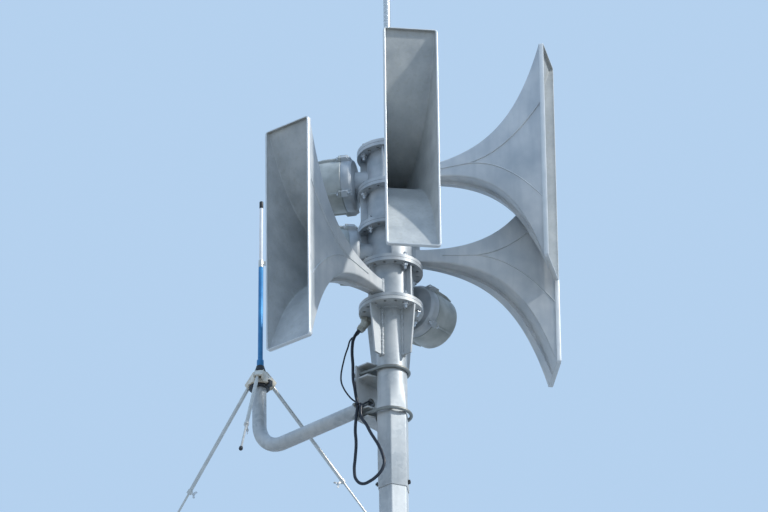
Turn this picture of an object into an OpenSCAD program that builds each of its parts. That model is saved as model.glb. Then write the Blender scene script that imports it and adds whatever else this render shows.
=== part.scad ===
// Civil defense siren tower: four slot-mouth horns stacked on a mast head, with a radio antenna arm.
// Millimetres. Z is up, the origin is on the mast axis at the underside of the base plate.

/* [Mast] */
// Height of the head flange's underside above the foot
mast_h = 3200; // [2000:50:6000]
// Corner radius of the lower hexagonal tube
tube_corner_r = 46.5; // [44:0.5:60]
// Wall of the mast tubes
tube_wall = 4; // [3:0.5:6]
// Wall of the hexagonal sleeve
sleeve_wall = 2.8; // [2:0.1:5]
// Gap between the sleeve and the tube inside it
sleeve_gap = 0.3; // [0.2:0.05:0.5]
// Outer radius of the round pipe under the head
pipe_r = 44.45; // [42:0.05:48]
// Length of the round pipe above the swaged part
pipe_h = 222; // [218:1:260]
// Length of the swaged part, where the round turns hexagonal
swage_h = 112; // [80:1:180]
// Length of the hexagonal sleeve
sleeve_h = 261; // [150:1:400]
// Depth of the lower tube inside the sleeve
tube_insert = 240; // [100:1:255]
// Height of the cross bolt above the sleeve's end
cross_bolt_z = 25; // [15:1:60]

/* [Foot] */
// Side of the square base plate
base_side = 320; // [260:10:500]
// Thickness of the base plate
base_t = 20; // [12:1:40]
// Distance between anchor holes
anchor_pitch = 240; // [200:5:300]
// Radius of an anchor hole
anchor_r = 11; // [8:0.5:14]
// Height of a base gusset
base_gusset_h = 140; // [80:5:300]
// Reach of a base gusset from the tube's face
base_gusset_w = 90; // [50:5:100]
// Thickness of a base gusset
base_gusset_t = 8; // [5:1:12]

/* [Mast head] */
// Outer radius of every column flange
flange_r = 95; // [92:1:120]
// Thickness of one flange
flange_t = 10.5; // [8:0.5:16]
// Radius of the bolt circle
bolt_circle_r = 80; // [75:0.5:86]
// Number of holes round a flange
bolt_holes = 16; // [8:4:16]
// Radius of a flange bolt hole
bolt_hole_r = 4.5; // [3.5:0.5:6]
// Bore through the head flange for the wiring
head_bore_r = 30; // [15:1:38]
// Height of a head gusset
gusset_h = 156; // [80:1:170]
// Reach of a head gusset at the flange
gusset_top_r = 93; // [80:1:94]
// Reach of a head gusset at its lower end
gusset_low_r = 75; // [60:1:90]
// Thickness of a head gusset
gusset_t = 6; // [4:0.5:10]

/* [Column] */
// Height of one column module
module_h = 131; // [120:1:180]
// Outer radius of a module's tube
body_r = 67; // [62:0.5:70]
// Wall of a module's tube
body_wall = 8; // [5:0.5:14]
// Height of the horn axis above the module's lower face
horn_z = 48.5; // [44:0.5:80]
// Reach of a module's upright fins from the column axis
fin_r = 87; // [75:1:92]
// Thickness of a fin
fin_t = 5; // [3:0.5:6]
// Thickness of the cap plate
cap_t = 10.5; // [6:0.5:16]
// Radius of the lightning rod
rod_r = 10.5; // [6:0.5:16]
// Length of the lightning rod above the cap
rod_h = 960; // [500:10:2000]

/* [Horn] */
// Aim of the lowest horn, counted from +X
aim_1 = -127.5; // [-132:0.5:-118]
// Aim of the second horn
aim_2 = 8.5; // [0:0.5:9]
// Aim of the third horn
aim_3 = -82; // [-86:0.5:-70]
// Aim of the top horn
aim_4 = -12; // [-30:0.5:-12]
// Distance of the mouth from the column axis
mouth_s = 488.5; // [400:0.5:600]
// Outer height of the mouth
mouth_h = 728; // [600:1:760]
// Outer width of the mouth
mouth_w = 160; // [140:1:164]
// Outer height of the throat
throat_h = 42; // [34:1:50]
// Outer width of the throat
throat_w = 47; // [40:1:56]
// Wall of the horn casting
horn_wall = 4; // [3:0.5:6]
// Depth of the collar round the mouth
lip_d = 14; // [8:1:25]
// Height of the collar above the flare
lip_rise = 3; // [1.5:0.5:6]
// Corner radius of the mouth
mouth_corner_r = 9; // [5:0.5:16]
// Width of the seam rib along the top and bottom
seam_w = 3.5; // [2:0.5:6]
// Height of the seam rib
seam_rise = 7; // [3:0.5:10]
// Width of the bead cast on the side walls
bead_w = 2.6; // [2:0.2:5]
// Height of the bead on the side walls
bead_rise = 1.2; // [0.6:0.2:2]
// Distance from the column axis to where the bead forks
fork_s = 235; // [180:1:300]
// Half height between the bead's two arms at the collar
fork_z = 160; // [100:1:200]

/* [Driver] */
// Distance from the column axis to the driver's front plate
driver_s = 98; // [97:1:110]
// Thickness of the driver's front plate
front_t = 9; // [6:0.5:14]
// Width of the driver's ring behind the front plate
ring_w = 26; // [18:1:40]
// Outer radius of the driver's ring
ring_r = 79; // [70:0.5:84]
// Length of the driver's cover
cover_h = 107; // [80:1:130]
// Radius of the cover at the ring
cover_r = 76; // [66:0.5:78]
// Radius of the neck that carries the driver
neck_r = 36; // [28:0.5:36]
// Turn of the lugs on the lowest driver
lug_turn_1 = -33; // [-45:1:45]
// Turn of the lugs on the other drivers
lug_turn = 33; // [-45:1:45]
// Reach of a lug from the driver's axis
lug_r = 91; // [86:0.5:94]
// Width of a lug
lug_w = 18; // [14:1:24]
// Thickness of the rib behind a lug
rib_t = 5; // [3:0.5:8]

/* [Antenna arm] */
// Azimuth of the arm
arm_az = 139; // [130:1:150]
// Outer radius of the arm's tube
arm_r = 21.2; // [18:0.1:25]
// Wall of the arm's tube
arm_wall = 3.2; // [2:0.1:5]
// Reach of the arm from the mast axis
arm_reach = 523; // [400:1:700]
// Bend radius of the arm's centre line
arm_bend_r = 94; // [70:1:140]
// Depth of the arm's axis below the head flange
arm_drop = 273; // [265:1:290]
// Depth of the arm's upper end below the head flange
arm_top_drop = 32; // [20:1:60]
// Distance from the mast axis to the bracket plate
plate_s = 80; // [76:1:90]
// Thickness of the bracket plate
plate_t = 6; // [4:0.5:10]
// Width of the bracket plate
plate_w = 128; // [124:1:150]
// Height of the bracket plate
plate_h = 200; // [180:1:230]
// Radius of the cable hole in the bracket plate
cable_hole_r = 12.5; // [11:0.5:16]
// Radius of the U-bolt rod
u_rod_r = 4; // [3:0.5:5]
// Depth of the upper U-bolt below the head flange
u_upper_drop = 203; // [195:1:208]
// Depth of the lower U-bolt below the head flange
u_lower_drop = 343; // [338:1:352]
// Length of a U-bolt leg past the bracket plate
u_leg_past = 18; // [12:1:30]

/* [Antenna] */
// Radius of the hub at its skirt
hub_skirt_r = 56; // [48:1:64]
// Height of the hub
hub_h = 40; // [32:1:52]
// Length of the whip's lower tube
whip_low_h = 338; // [250:1:450]
// Radius of the whip's lower tube
whip_low_r = 8.8; // [7:0.1:11]
// Length of the whip's upper tube above its clamp
whip_up_h = 180; // [120:1:300]
// Radius of the whip's upper tube
whip_up_r = 5.3; // [4:0.1:6.5]
// Angle of a radial from the vertical
radial_tilt = 39; // [34:0.5:44]
// Azimuth of the first radial
radial_az = -97; // [-100:1:-92]
// Length of a radial
radial_h = 577; // [500:1:700]
// Length of a radial's thick tube
radial_low_h = 385; // [250:1:450]
// Radius of a radial's thick tube
radial_low_r = 5.6; // [4.5:0.1:6]
// Radius of a radial's thin rod
radial_up_r = 3.3; // [2.5:0.1:4]

/* [Cables] */
// Radius of the speaker cable
speaker_r = 4.7; // [3:0.1:5]
// Radius of the antenna cable
coax_r = 2.5; // [1.5:0.1:2.6]

/* [Hidden] */
$fn = 72;

horn_aims = [aim_1, aim_2, aim_3, aim_4];
lug_turns = [lug_turn_1, lug_turn, lug_turn, lug_turn];
column_z = mast_h + flange_t;
cap_z = column_z + len(horn_aims) * module_h;
cut = 1;
skin = 0.3;

// Hexagonal tubes: the azimuth of one corner, and half the angle that a face takes up.
hex_turn = -98.5;
half_face = 30;
tube_bore_corner_r = tube_corner_r - tube_wall / cos(half_face);
sleeve_bore_corner_r = tube_corner_r + sleeve_gap / cos(half_face);
sleeve_corner_r = sleeve_bore_corner_r + sleeve_wall / cos(half_face);
pipe_bore_r = min(pipe_r - tube_wall, sleeve_bore_corner_r * cos(half_face) - cut);
swage_z = mast_h - pipe_h;
sleeve_top_z = swage_z - swage_h;
sleeve_low_z = sleeve_top_z - sleeve_h;
tube_top_z = sleeve_low_z + tube_insert;
tube_face = tube_corner_r * cos(half_face);
sleeve_face = sleeve_corner_r * cos(half_face);

// Bolt pattern: the first hole's azimuth, and how far each joint from the head up is turned from it.
bolt_az = -57.5;
joint_turns = [0, 0, 11.25, 11.25, 11.25];
fin_azimuths = [-46.25, -86, -80, -102.5];
gusset_az = -131;
cross_bolt_r = 5;
cross_head_r = 9.2;
cross_head_t = 6.5;

// Horn flare: a hyperbolic cosine in height, straight sides in width.
flare_s = 88;
horn_foot_h = 5;
horn_root_s = body_r + horn_foot_h;
lip_s = mouth_s - lip_d;
flare_end_h = mouth_h - 2 * lip_rise;
flare_end_w = mouth_w - 2 * lip_rise;
flare_k = acosh(flare_end_h / throat_h) / (lip_s - flare_s);
flare_steps = 26;
horn_pad = 1;
mouth_slope = throat_h / 2 * flare_k * sinh(flare_k * (lip_s - flare_s));
mouth_bore_h = flare_end_h - 2 * horn_wall / norm([1, mouth_slope]);
side_slope = (flare_end_w - throat_w) / 2 / (lip_s - flare_s);
side_wall = horn_wall * norm([1, side_slope]);

ring_s = driver_s + front_t;
cover_s = ring_s + ring_w;

// Antenna.
antenna_z = mast_h - arm_top_drop;
collar_z = antenna_z + hub_h;
collar_h = 11;
whip_z = collar_z + collar_h;
whip_foot_h = 21;
whip_foot_r = 10.5;
whip_clamp_h = 24;
whip_clamp_r = 7.6;
cap_low_h = 24;
cap_low_r = 6;
collar_wall = 5.5;
collar_hem = 1;
radial_step = 120;
radial_seat_r = 18;
radial_seat_drop = 20;
socket_r = radial_low_r + skin;
socket_s = 8;
clamp_ring_h = 20;
clamp_ring_r = 25.5;
saddle_t = 6;
saddle_half_w = 42;
saddle_inset = 12.5;
upper_saddle_gap = 3;
lower_saddle_gap = 12;
upper_saddle_drop = u_upper_drop + u_rod_r + upper_saddle_gap;
lower_saddle_drop = u_lower_drop + u_rod_r + lower_saddle_gap;
plate_corner_r = 14;

// Seat of the lightning rod in the cap.
rod_seat = 3;

// Cable gland under the head flange, between two holes and clear of the gusset.
gland_az = 156.25;
gland_r = 80;
gland_hex_r = 11;
gland_h = 26;

// Cable routes from the gland by the clip to the bracket hole, relative to the head flange.
speaker_route = [
    [-72, 31, -26], [-74, 31, -34], [-82, 30, -46], [-95, 26, -66], [-107, 21, -92],
    [-115, 14, -130], [-118, 9, -175], [-116, 6, -220], [-109, 2, -262], [-101, -3, -302],
    [-106, -6, -345], [-109, -12, -391], [-107, -20, -440], [-110, -28, -492], [-113, -34, -536],
    [-107, -42, -571], [-89, -52, -589], [-65, -60, -590], [-41, -66, -571], [-26, -69, -531],
    [-28, -67, -486], [-42, -58, -440], [-63, -38, -398], [-81, -18, -366], [-91, -8, -345],
    [-90, -2, -322], [-78, 17, -303], [-66, 36, -286], [-59, 53, -279], [-70, 66, -278]
];
coax_route = [
    [-78, 35, -26], [-81, 34, -34], [-92, 29, -44], [-106, 22, -62], [-122, 16, -93],
    [-137, 11, -133], [-145, 8, -168], [-147, 5, -205], [-141, 3, -250], [-126, -1, -284],
    [-111, -9, -299], [-96, -10, -304], [-89, -2, -303], [-88, 11, -296], [-78, 28, -282],
    [-65, 41, -270], [-64, 48, -267], [-76, 58, -266]
];

function cosh(x) = (exp(x) + exp(-x)) / 2;
function sinh(x) = (exp(x) - exp(-x)) / 2;
function acosh(x) = ln(x + sqrt(x * x - 1));

// Half height and slope of the flare at a distance s from the column axis.
function flare_at(s) = throat_h / 2 * cosh(flare_k * (s - flare_s));
function slope_at(s) = throat_h / 2 * flare_k * sinh(flare_k * (s - flare_s));

// A point of the flare, moved along the curve's normal.
function flare_point(s, grow) =
    let (m = slope_at(s), n = norm([1, m]))
    [s - grow * m / n, flare_at(s) + grow / n];

// Points along the flare from the throat, moved out by grow, for the first so many steps.
function flare_half(grow, steps) = concat(
    [[horn_root_s, throat_h / 2 + grow]],
    [for (i = [0 : steps]) flare_point(flare_s + (lip_s - flare_s) * i / flare_steps, grow)]
);

function mirrored(points) = [for (i = [len(points) - 1 : -1 : 0]) [points[i][0], -points[i][1]]];

module at_azimuth(az, z) {
    translate([0, 0, z]) rotate([0, 0, az]) children();
}

module hex_bar(corner_r, h) {
    rotate([0, 0, hex_turn]) cylinder(r = corner_r, h = h, $fn = 6);
}

// Stands an outline of distance and height upright, centred on the horn's mid plane.
module upright(width) {
    rotate([90, 0, 0]) linear_extrude(width, center = true) children();
}

// Holes through one flange of thickness t, at the joint of that number counted up from the head.
module bolt_ring(joint, z, t) {
    for (i = [0 : bolt_holes - 1])
        at_azimuth(bolt_az + joint_turns[joint] + i * 360 / bolt_holes, z - cut)
            translate([bolt_circle_r, 0, 0]) cylinder(r = bolt_hole_r, h = t + 2 * cut, $fn = 24);
}

module base_plate() {
    color("lightsteelblue") difference() {
        translate([-base_side / 2, -base_side / 2, 0]) cube([base_side, base_side, base_t]);
        for (x = [-1, 1], y = [-1, 1])
            translate([x * anchor_pitch / 2, y * anchor_pitch / 2, -cut])
                cylinder(r = anchor_r, h = base_t + 2 * cut);
    }
}

module base_gussets() {
    foot_nose = 15;
    color("lightsteelblue") for (i = [0 : 5])
        at_azimuth(hex_turn + half_face + 60 * i, base_t)
            upright(base_gusset_t) polygon([
                [tube_face, 0], [tube_face + base_gusset_w, 0], [tube_face + base_gusset_w, foot_nose],
                [tube_face + foot_nose, base_gusset_h], [tube_face, base_gusset_h]
            ]);
}

module mast_tube() {
    color("lightsteelblue") difference() {
        translate([0, 0, base_t]) hex_bar(tube_corner_r, tube_top_z - base_t);
        translate([0, 0, base_t - cut]) hex_bar(tube_bore_corner_r, tube_top_z - base_t + 2 * cut);
        cross_bolt_cut();
    }
}

module cross_bolt_cut() {
    at_azimuth(hex_turn + 3 * half_face, sleeve_low_z + cross_bolt_z) rotate([0, 90, 0])
        cylinder(r = cross_bolt_r + skin, h = 3 * sleeve_corner_r, center = true);
}

// Round pipe, swaged to a hexagon that slides over the lower tube.
module mast_sleeve() {
    color("lightsteelblue") difference() {
        union() {
            translate([0, 0, swage_z]) cylinder(r = pipe_r, h = pipe_h);
            swage();
            translate([0, 0, sleeve_low_z]) hex_bar(sleeve_corner_r, sleeve_h);
        }
        translate([0, 0, sleeve_low_z - cut]) cylinder(r = pipe_bore_r, h = mast_h);
        translate([0, 0, sleeve_low_z - cut]) hex_bar(sleeve_bore_corner_r, tube_insert + cut);
        cross_bolt_cut();
    }
}

// Cone with six tilted flats that run out under the round pipe.
module swage() {
    flat_run = pipe_r - 2 * skin - sleeve_face;
    flat_w = 2 * sleeve_corner_r;
    difference() {
        translate([0, 0, sleeve_top_z])
            cylinder(r1 = sleeve_corner_r - 2 * skin, r2 = pipe_r, h = swage_h);
        for (i = [0 : 5])
            at_azimuth(hex_turn + half_face + 60 * i, sleeve_top_z)
                translate([sleeve_face, 0, 0]) rotate([0, atan(flat_run / swage_h), 0])
                    translate([0, -flat_w / 2, -flat_w / 4]) cube([flat_w, flat_w, 2 * swage_h]);
    }
}

module cross_bolt() {
    reach = sleeve_face + cross_head_t;
    color("silver") at_azimuth(hex_turn + 3 * half_face, sleeve_low_z + cross_bolt_z)
        rotate([0, 90, 0]) {
            translate([0, 0, -reach]) cylinder(r = cross_bolt_r, h = 2 * reach + cross_bolt_r);
            for (side = [-1, 1])
                translate([0, 0, side * (sleeve_face + cross_head_t / 2)])
                    cylinder(r = cross_head_r, h = cross_head_t, center = true, $fn = 6);
        }
}

module head_flange() {
    color("lightsteelblue") difference() {
        translate([0, 0, mast_h]) cylinder(r = flange_r, h = flange_t);
        translate([0, 0, mast_h - cut]) cylinder(r = head_bore_r, h = flange_t + 2 * cut);
        bolt_ring(0, mast_h, flange_t);
    }
}

module head_gussets() {
    color("lightsteelblue") difference() {
        for (i = [0 : 3])
            at_azimuth(gusset_az + 90 * i, mast_h) upright(gusset_t) polygon([
                [pipe_r / 2, 0], [gusset_top_r, 0], [gusset_low_r, -gusset_h], [pipe_r / 2, -gusset_h]
            ]);
        translate([0, 0, mast_h - gusset_h - cut]) cylinder(r = pipe_r, h = gusset_h + 2 * cut);
    }
}

// One cast column module: a flanged tube with four fins, the horn's port and the driver's neck.
module column_module(index) {
    low_z = column_z + index * module_h;
    axis_z = low_z + horn_z;
    aim = horn_aims[index];
    port_w = throat_w - 2 * horn_wall;
    port_h = throat_h - 2 * horn_wall;
    color("silver") difference() {
        union() {
            translate([0, 0, low_z]) cylinder(r = body_r, h = module_h);
            translate([0, 0, low_z]) cylinder(r = flange_r, h = flange_t);
            translate([0, 0, low_z + module_h - flange_t]) cylinder(r = flange_r, h = flange_t);
            for (i = [0 : 3]) at_azimuth(fin_azimuths[index] + 90 * i, low_z + cut)
                translate([body_r / 2, -fin_t / 2, 0])
                    cube([fin_r - body_r / 2, fin_t, module_h - 2 * cut]);
            at_azimuth(aim, axis_z)
                translate([0, -throat_w / 2 - horn_pad, -throat_h / 2 - horn_pad])
                    cube([horn_root_s, throat_w + 2 * horn_pad, throat_h + 2 * horn_pad]);
            at_azimuth(aim + 180, axis_z) rotate([0, 90, 0]) cylinder(r = neck_r, h = driver_s);
        }
        translate([0, 0, low_z - cut]) cylinder(r = body_r - body_wall, h = module_h + 2 * cut);
        at_azimuth(aim, axis_z)
            translate([0, -port_w / 2, -port_h / 2]) cube([flange_r, port_w, port_h]);
        at_azimuth(aim + 180, axis_z) rotate([0, 90, 0])
            cylinder(r = neck_r - body_wall, h = driver_s + cut);
        bolt_ring(index, low_z, flange_t);
        bolt_ring(index + 1, low_z + module_h - flange_t, flange_t);
    }
}

// Cap plate with a tapered boss that holds the lightning rod.
module top_cap() {
    boss_h = 12;
    color("silver") difference() {
        union() {
            translate([0, 0, cap_z]) cylinder(r = flange_r, h = cap_t);
            translate([0, 0, cap_z + cap_t]) cylinder(r1 = 3 * rod_r, r2 = 2 * rod_r, h = boss_h);
        }
        translate([0, 0, cap_z + cap_t - rod_seat]) cylinder(r = rod_r, h = rod_seat + boss_h + cut);
        bolt_ring(len(horn_aims), cap_z, cap_t);
    }
}

module lightning_rod() {
    seat_z = cap_z + cap_t - rod_seat;
    tip_h = 6 * rod_r;
    tip_r = 2;
    color("silver") {
        translate([0, 0, seat_z]) cylinder(r = rod_r, h = rod_h);
        translate([0, 0, seat_z + rod_h]) cylinder(r1 = rod_r, r2 = tip_r, h = tip_h);
    }
}

// Horn casting: the side outline crossed with the plan taper, hollow, with ribs, beads and collar.
module horn(index) {
    bore_start_s = horn_root_s - cut;
    bore_end_s = mouth_s + cut;
    color("silver") at_azimuth(horn_aims[index], column_z + index * module_h + horn_z)
        difference() {
            union() {
                intersection() {
                    upright(mouth_w) horn_outline(0);
                    horn_plan(0, horn_root_s, lip_s);
                }
                upright(seam_w) horn_outline(seam_rise);
                intersection() {
                    upright(mouth_w) side_bead();
                    horn_plan(bead_rise, horn_root_s, lip_s);
                }
                horn_collar();
            }
            intersection() {
                upright(mouth_w) horn_bore(bore_start_s, bore_end_s);
                horn_plan(-side_wall, bore_start_s, bore_end_s);
            }
        }
}

module horn_outline(grow) {
    upper = concat(
        flare_half(grow, flare_steps - 1), [[lip_s, flare_end_h / 2 + min(grow, lip_rise)]]
    );
    polygon(concat(upper, mirrored(upper)));
}

module horn_bore(start_s, end_s) {
    upper = concat(
        [[start_s, throat_h / 2 - horn_wall]],
        flare_half(-horn_wall, flare_steps),
        [[end_s, mouth_bore_h / 2]]
    );
    polygon(concat(upper, mirrored(upper)));
}

// Plan of the horn: a straight duct, then a taper between flat side walls, grown outward by grow.
module horn_plan(grow, start_s, end_s) {
    root_w = throat_w / 2 + grow;
    half = [
        [start_s, root_w], [flare_s, root_w], [end_s, root_w + side_slope * (end_s - flare_s)]
    ];
    linear_extrude(2 * mouth_h, center = true) polygon(concat(half, mirrored(half)));
}

// The bead runs out from the throat and forks into two parabolic arms that end at the collar.
module side_bead() {
    fork_steps = 10;
    bead_start_s = 150;
    arm = [for (i = [0 : fork_steps]) let (t = i / fork_steps)
        [fork_s + (lip_s - fork_s) * t, fork_z * t * t]];
    translate([bead_start_s, -bead_w / 2]) square([fork_s - bead_start_s, bead_w]);
    for (side = [0, 1]) mirror([0, side]) polygon(concat(
        [for (p = arm) [p[0], p[1] + bead_w / 2]],
        [for (i = [fork_steps : -1 : 0]) [arm[i][0], arm[i][1] - bead_w / 2]]
    ));
}

module horn_collar() {
    translate([lip_s, 0, 0]) rotate([90, 0, 90]) linear_extrude(lip_d)
        rounded_box(mouth_w, mouth_h, mouth_corner_r);
}

module rounded_box(w, h, r) {
    for (x = [-1, 1], y = [-1, 1]) translate([x * (w / 2 - r), y * (h / 2 - r)]) circle(r);
    square([w, h - 2 * r], center = true);
    square([w - 2 * r, h], center = true);
}

// Places a driver part: its axis runs out from the column, opposite the horn.
module on_driver(index, s) {
    at_azimuth(horn_aims[index] + 180, column_z + index * module_h + horn_z)
        translate([s, 0, 0]) rotate([-lug_turns[index], 0, 0]) rotate([0, 90, 0]) children();
}

// Front plate and ring of the driver, with four lugs that end square where the cover's ears meet them.
module driver_ring(index) {
    edge = 5;
    back = front_t + ring_w;
    color("silver") on_driver(index, driver_s) difference() {
        union() {
            cylinder(r1 = ring_r - edge, r2 = ring_r, h = front_t);
            translate([0, 0, front_t]) cylinder(r = ring_r, h = ring_w);
            for (i = [0 : 3]) rotate([0, 0, 90 * i]) upright(lug_w) polygon([
                [ring_r / 2, edge], [ring_r, edge], [lug_r, back - lug_w], [lug_r, back],
                [ring_r / 2, back]
            ]);
        }
        translate([0, 0, -cut]) cylinder(r = neck_r - body_wall, h = front_t + cut);
    }
}

// Side outline of the cover: a slight taper, then a quarter ellipse to the flat end.
function cover_outline() =
    let (dome_h = 53.5, flat_r = 23, shoulder_r = cover_r - 2, steps = 12)
    concat(
        [[0, 0], [cover_r, 0]],
        [for (i = [0 : steps]) let (a = 90 * i / steps)
            [flat_r + (shoulder_r - flat_r) * cos(a), cover_h - dome_h + dome_h * sin(a)]],
        [[0, cover_h]]
    );

module driver_cover(index) {
    ear_t = 6;
    rib_start = 16;
    rib_end = cover_h - rib_start;
    color("darkgray") on_driver(index, cover_s) {
        rotate_extrude() polygon(cover_outline());
        for (i = [0 : 3]) rotate([0, 0, 90 * i]) {
            upright(lug_w) polygon([
                [ring_r / 2, 0], [lug_r, 0], [lug_r, ear_t], [ring_r / 2, ear_t]
            ]);
            upright(rib_t) polygon([
                [ring_r / 2, rib_start], [cover_r + ear_t, rib_start],
                [cover_r + ear_t, cover_h / 2], [cover_r - ear_t, rib_end], [ring_r / 2, rib_end]
            ]);
        }
    }
}

// Horizontal plate of the bracket, notched to seat on the mast.
module saddle(drop, mast_r) {
    translate([0, 0, -drop - saddle_t]) difference() {
        translate([mast_r - saddle_inset, -saddle_half_w, 0])
            cube([plate_s - mast_r + saddle_inset, 2 * saddle_half_w, saddle_t]);
        translate([0, 0, -cut]) cylinder(r = mast_r + skin, h = saddle_t + 2 * cut);
    }
}

module antenna_bracket() {
    color("lightsteelblue") at_azimuth(arm_az, mast_h) {
        difference() {
            translate([plate_s, 0, -arm_drop]) rotate([90, 0, 90]) linear_extrude(plate_t)
                rounded_box(plate_w, plate_h, plate_corner_r);
            translate([plate_s - cut, 0, -arm_drop]) rotate([0, 90, 0])
                cylinder(r = cable_hole_r, h = plate_t + 2 * cut);
            leg_holes(u_upper_drop, pipe_r);
            leg_holes(u_lower_drop, sleeve_corner_r);
        }
        saddle(upper_saddle_drop, pipe_r);
        saddle(lower_saddle_drop, sleeve_corner_r);
    }
}

function u_ring_r(mast_r) = mast_r + skin + u_rod_r;

module leg_holes(drop, mast_r) {
    for (side = [-1, 1])
        translate([plate_s - cut, side * u_ring_r(mast_r), -drop]) rotate([0, 90, 0])
            cylinder(r = u_rod_r + skin, h = plate_t + 2 * cut, $fn = 24);
}

// Threaded rod bent round the mast; both legs pass through the bracket plate.
module u_bolt(drop, mast_r) {
    color("gray") at_azimuth(arm_az, mast_h - drop) {
        rotate([0, 0, 90]) rotate_extrude(angle = 180) translate([u_ring_r(mast_r), 0])
            circle(u_rod_r, $fn = 24);
        for (side = [-1, 1]) translate([0, side * u_ring_r(mast_r), 0]) rotate([0, 90, 0])
            cylinder(r = u_rod_r, h = plate_s + plate_t + u_leg_past, $fn = 24);
    }
}

// Solid along the arm's line: out from the plate, round the bend and up to the hub.
module arm_line(r, over) {
    start_s = plate_s + plate_t - over;
    bend_s = arm_reach - arm_bend_r;
    at_azimuth(arm_az, mast_h - arm_drop) {
        translate([start_s, 0, 0]) rotate([0, 90, 0]) cylinder(r = r, h = bend_s - start_s);
        translate([bend_s, 0, arm_bend_r]) rotate([90, 0, 0]) rotate([0, 0, -90])
            rotate_extrude(angle = 90) translate([arm_bend_r, 0]) circle(r);
        translate([arm_reach, 0, arm_bend_r])
            cylinder(r = r, h = arm_drop - arm_top_drop - arm_bend_r + over);
    }
}

module antenna_arm() {
    color("lightsteelblue") difference() {
        arm_line(arm_r, 0);
        arm_line(arm_r - arm_wall, cut);
    }
}

module at_antenna(z) {
    at_azimuth(arm_az, z) translate([arm_reach, 0, 0]) rotate([0, 0, -arm_az]) children();
}

module arm_clamp() {
    ear_reach = clamp_ring_r + 11;
    ear_w = 16;
    color("dimgray") at_antenna(antenna_z - clamp_ring_h) difference() {
        union() {
            cylinder(r = clamp_ring_r, h = clamp_ring_h);
            rotate([0, 0, radial_az + radial_step / 2]) translate([arm_r / 2, -ear_w / 2, cut])
                cube([ear_reach - arm_r / 2, ear_w, clamp_ring_h - 2 * cut]);
        }
        translate([0, 0, -cut]) cylinder(r = arm_r + skin, h = clamp_ring_h + 2 * cut);
    }
}

// Three-lobed cone; each lobe holds one radial in a slot that is open on the outside.
module antenna_hub() {
    lobe_w = 30;
    core_r = 36;
    nose_r = 15;
    hem = 9;
    color("wheat") at_antenna(antenna_z) difference() {
        union() {
            cylinder(r1 = core_r, r2 = nose_r + 2 * cut, h = hub_h);
            for (i = [0 : 2]) rotate([0, 0, radial_az + radial_step * i]) upright(lobe_w)
                polygon([
                    [0, cut], [hub_skirt_r - hem / 2, cut], [hub_skirt_r, hem],
                    [nose_r, hub_h - cut], [0, hub_h - cut]
                ]);
        }
        for (i = [0 : 2]) on_radial(i) translate([0, 0, socket_s]) {
            cylinder(r = socket_r, h = radial_low_h);
            translate([-hub_skirt_r, -socket_r, 0]) cube([hub_skirt_r, 2 * socket_r, radial_low_h]);
        }
    }
}

// Runs a radial's own axis along +Z, out and down from its socket in the hub.
module on_radial(index) {
    rotate([0, 0, radial_az + radial_step * index]) translate([radial_seat_r, 0, hub_h - radial_seat_drop])
        rotate([0, 180 - radial_tilt, 0]) children();
}

module radial(index) {
    clamp_h = 13;
    clamp_r = radial_low_r + 2;
    tab = 9;
    color("silver") at_antenna(antenna_z) on_radial(index) {
        translate([0, 0, socket_s]) cylinder(r = radial_low_r, h = radial_low_h - socket_s, $fn = 32);
        translate([0, 0, radial_low_h]) cylinder(r = clamp_r, h = clamp_h, $fn = 32);
        translate([0, -tab / 3, radial_low_h + clamp_h / 4])
            cube([clamp_r + tab, 2 * tab / 3, clamp_h / 2]);
        translate([0, 0, radial_low_h]) cylinder(r = radial_up_r, h = radial_h - radial_low_h, $fn = 24);
    }
}

module hub_collar() {
    color("black") at_antenna(collar_z)
        cylinder(r1 = whip_foot_r + collar_wall, r2 = whip_foot_r + collar_hem, h = collar_h);
}

module whip_lower() {
    color("dodgerblue") at_antenna(whip_z) {
        cylinder(r = whip_foot_r, h = whip_foot_h);
        cylinder(r = whip_low_r, h = whip_low_h);
    }
}

module whip_clamp() {
    collet_h = whip_clamp_h / 3;
    tab = 9;
    color("silver") at_antenna(whip_z + whip_low_h) difference() {
        union() {
            cylinder(r = whip_up_r + 2, h = whip_clamp_h);
            translate([0, 0, collet_h]) cylinder(r = whip_clamp_r, h = whip_clamp_h / 2);
            translate([0, -tab / 3, collet_h]) cube([whip_clamp_r + tab, 2 * tab / 3, whip_clamp_h / 2]);
        }
        translate([0, 0, -cut]) cylinder(r = whip_up_r + skin, h = whip_clamp_h + 2 * cut);
    }
}

module whip_upper() {
    color("white") at_antenna(whip_z + whip_low_h)
        cylinder(r = whip_up_r, h = whip_clamp_h + whip_up_h, $fn = 32);
}

module whip_cap() {
    color("black") at_antenna(whip_z + whip_low_h + whip_clamp_h + whip_up_h)
        cylinder(r = cap_low_r, h = cap_low_h, $fn = 32);
}

module cable_gland() {
    nut_h = 9;
    end_r = 9.5;
    end_taper = 0.5;
    color("gainsboro") at_azimuth(gland_az, mast_h) translate([gland_r, 0, 0]) {
        translate([0, 0, -nut_h]) cylinder(r = gland_hex_r, h = nut_h, $fn = 6);
        translate([0, 0, -gland_h]) cylinder(r1 = end_r, r2 = end_r + end_taper, h = gland_h - nut_h);
    }
}

// Small block on the bracket's edge that carries the cables on their way down.
module cable_clip() {
    clip_h = 12;
    clip_w = 8;
    clip_drop = 302;
    color("dimgray") at_azimuth(arm_az, mast_h)
        translate([plate_s - cut, plate_w / 2, -clip_drop - clip_h / 2])
            cube([plate_t + cut, clip_w, clip_h]);
}

function unit(v) = v / norm(v);

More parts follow.
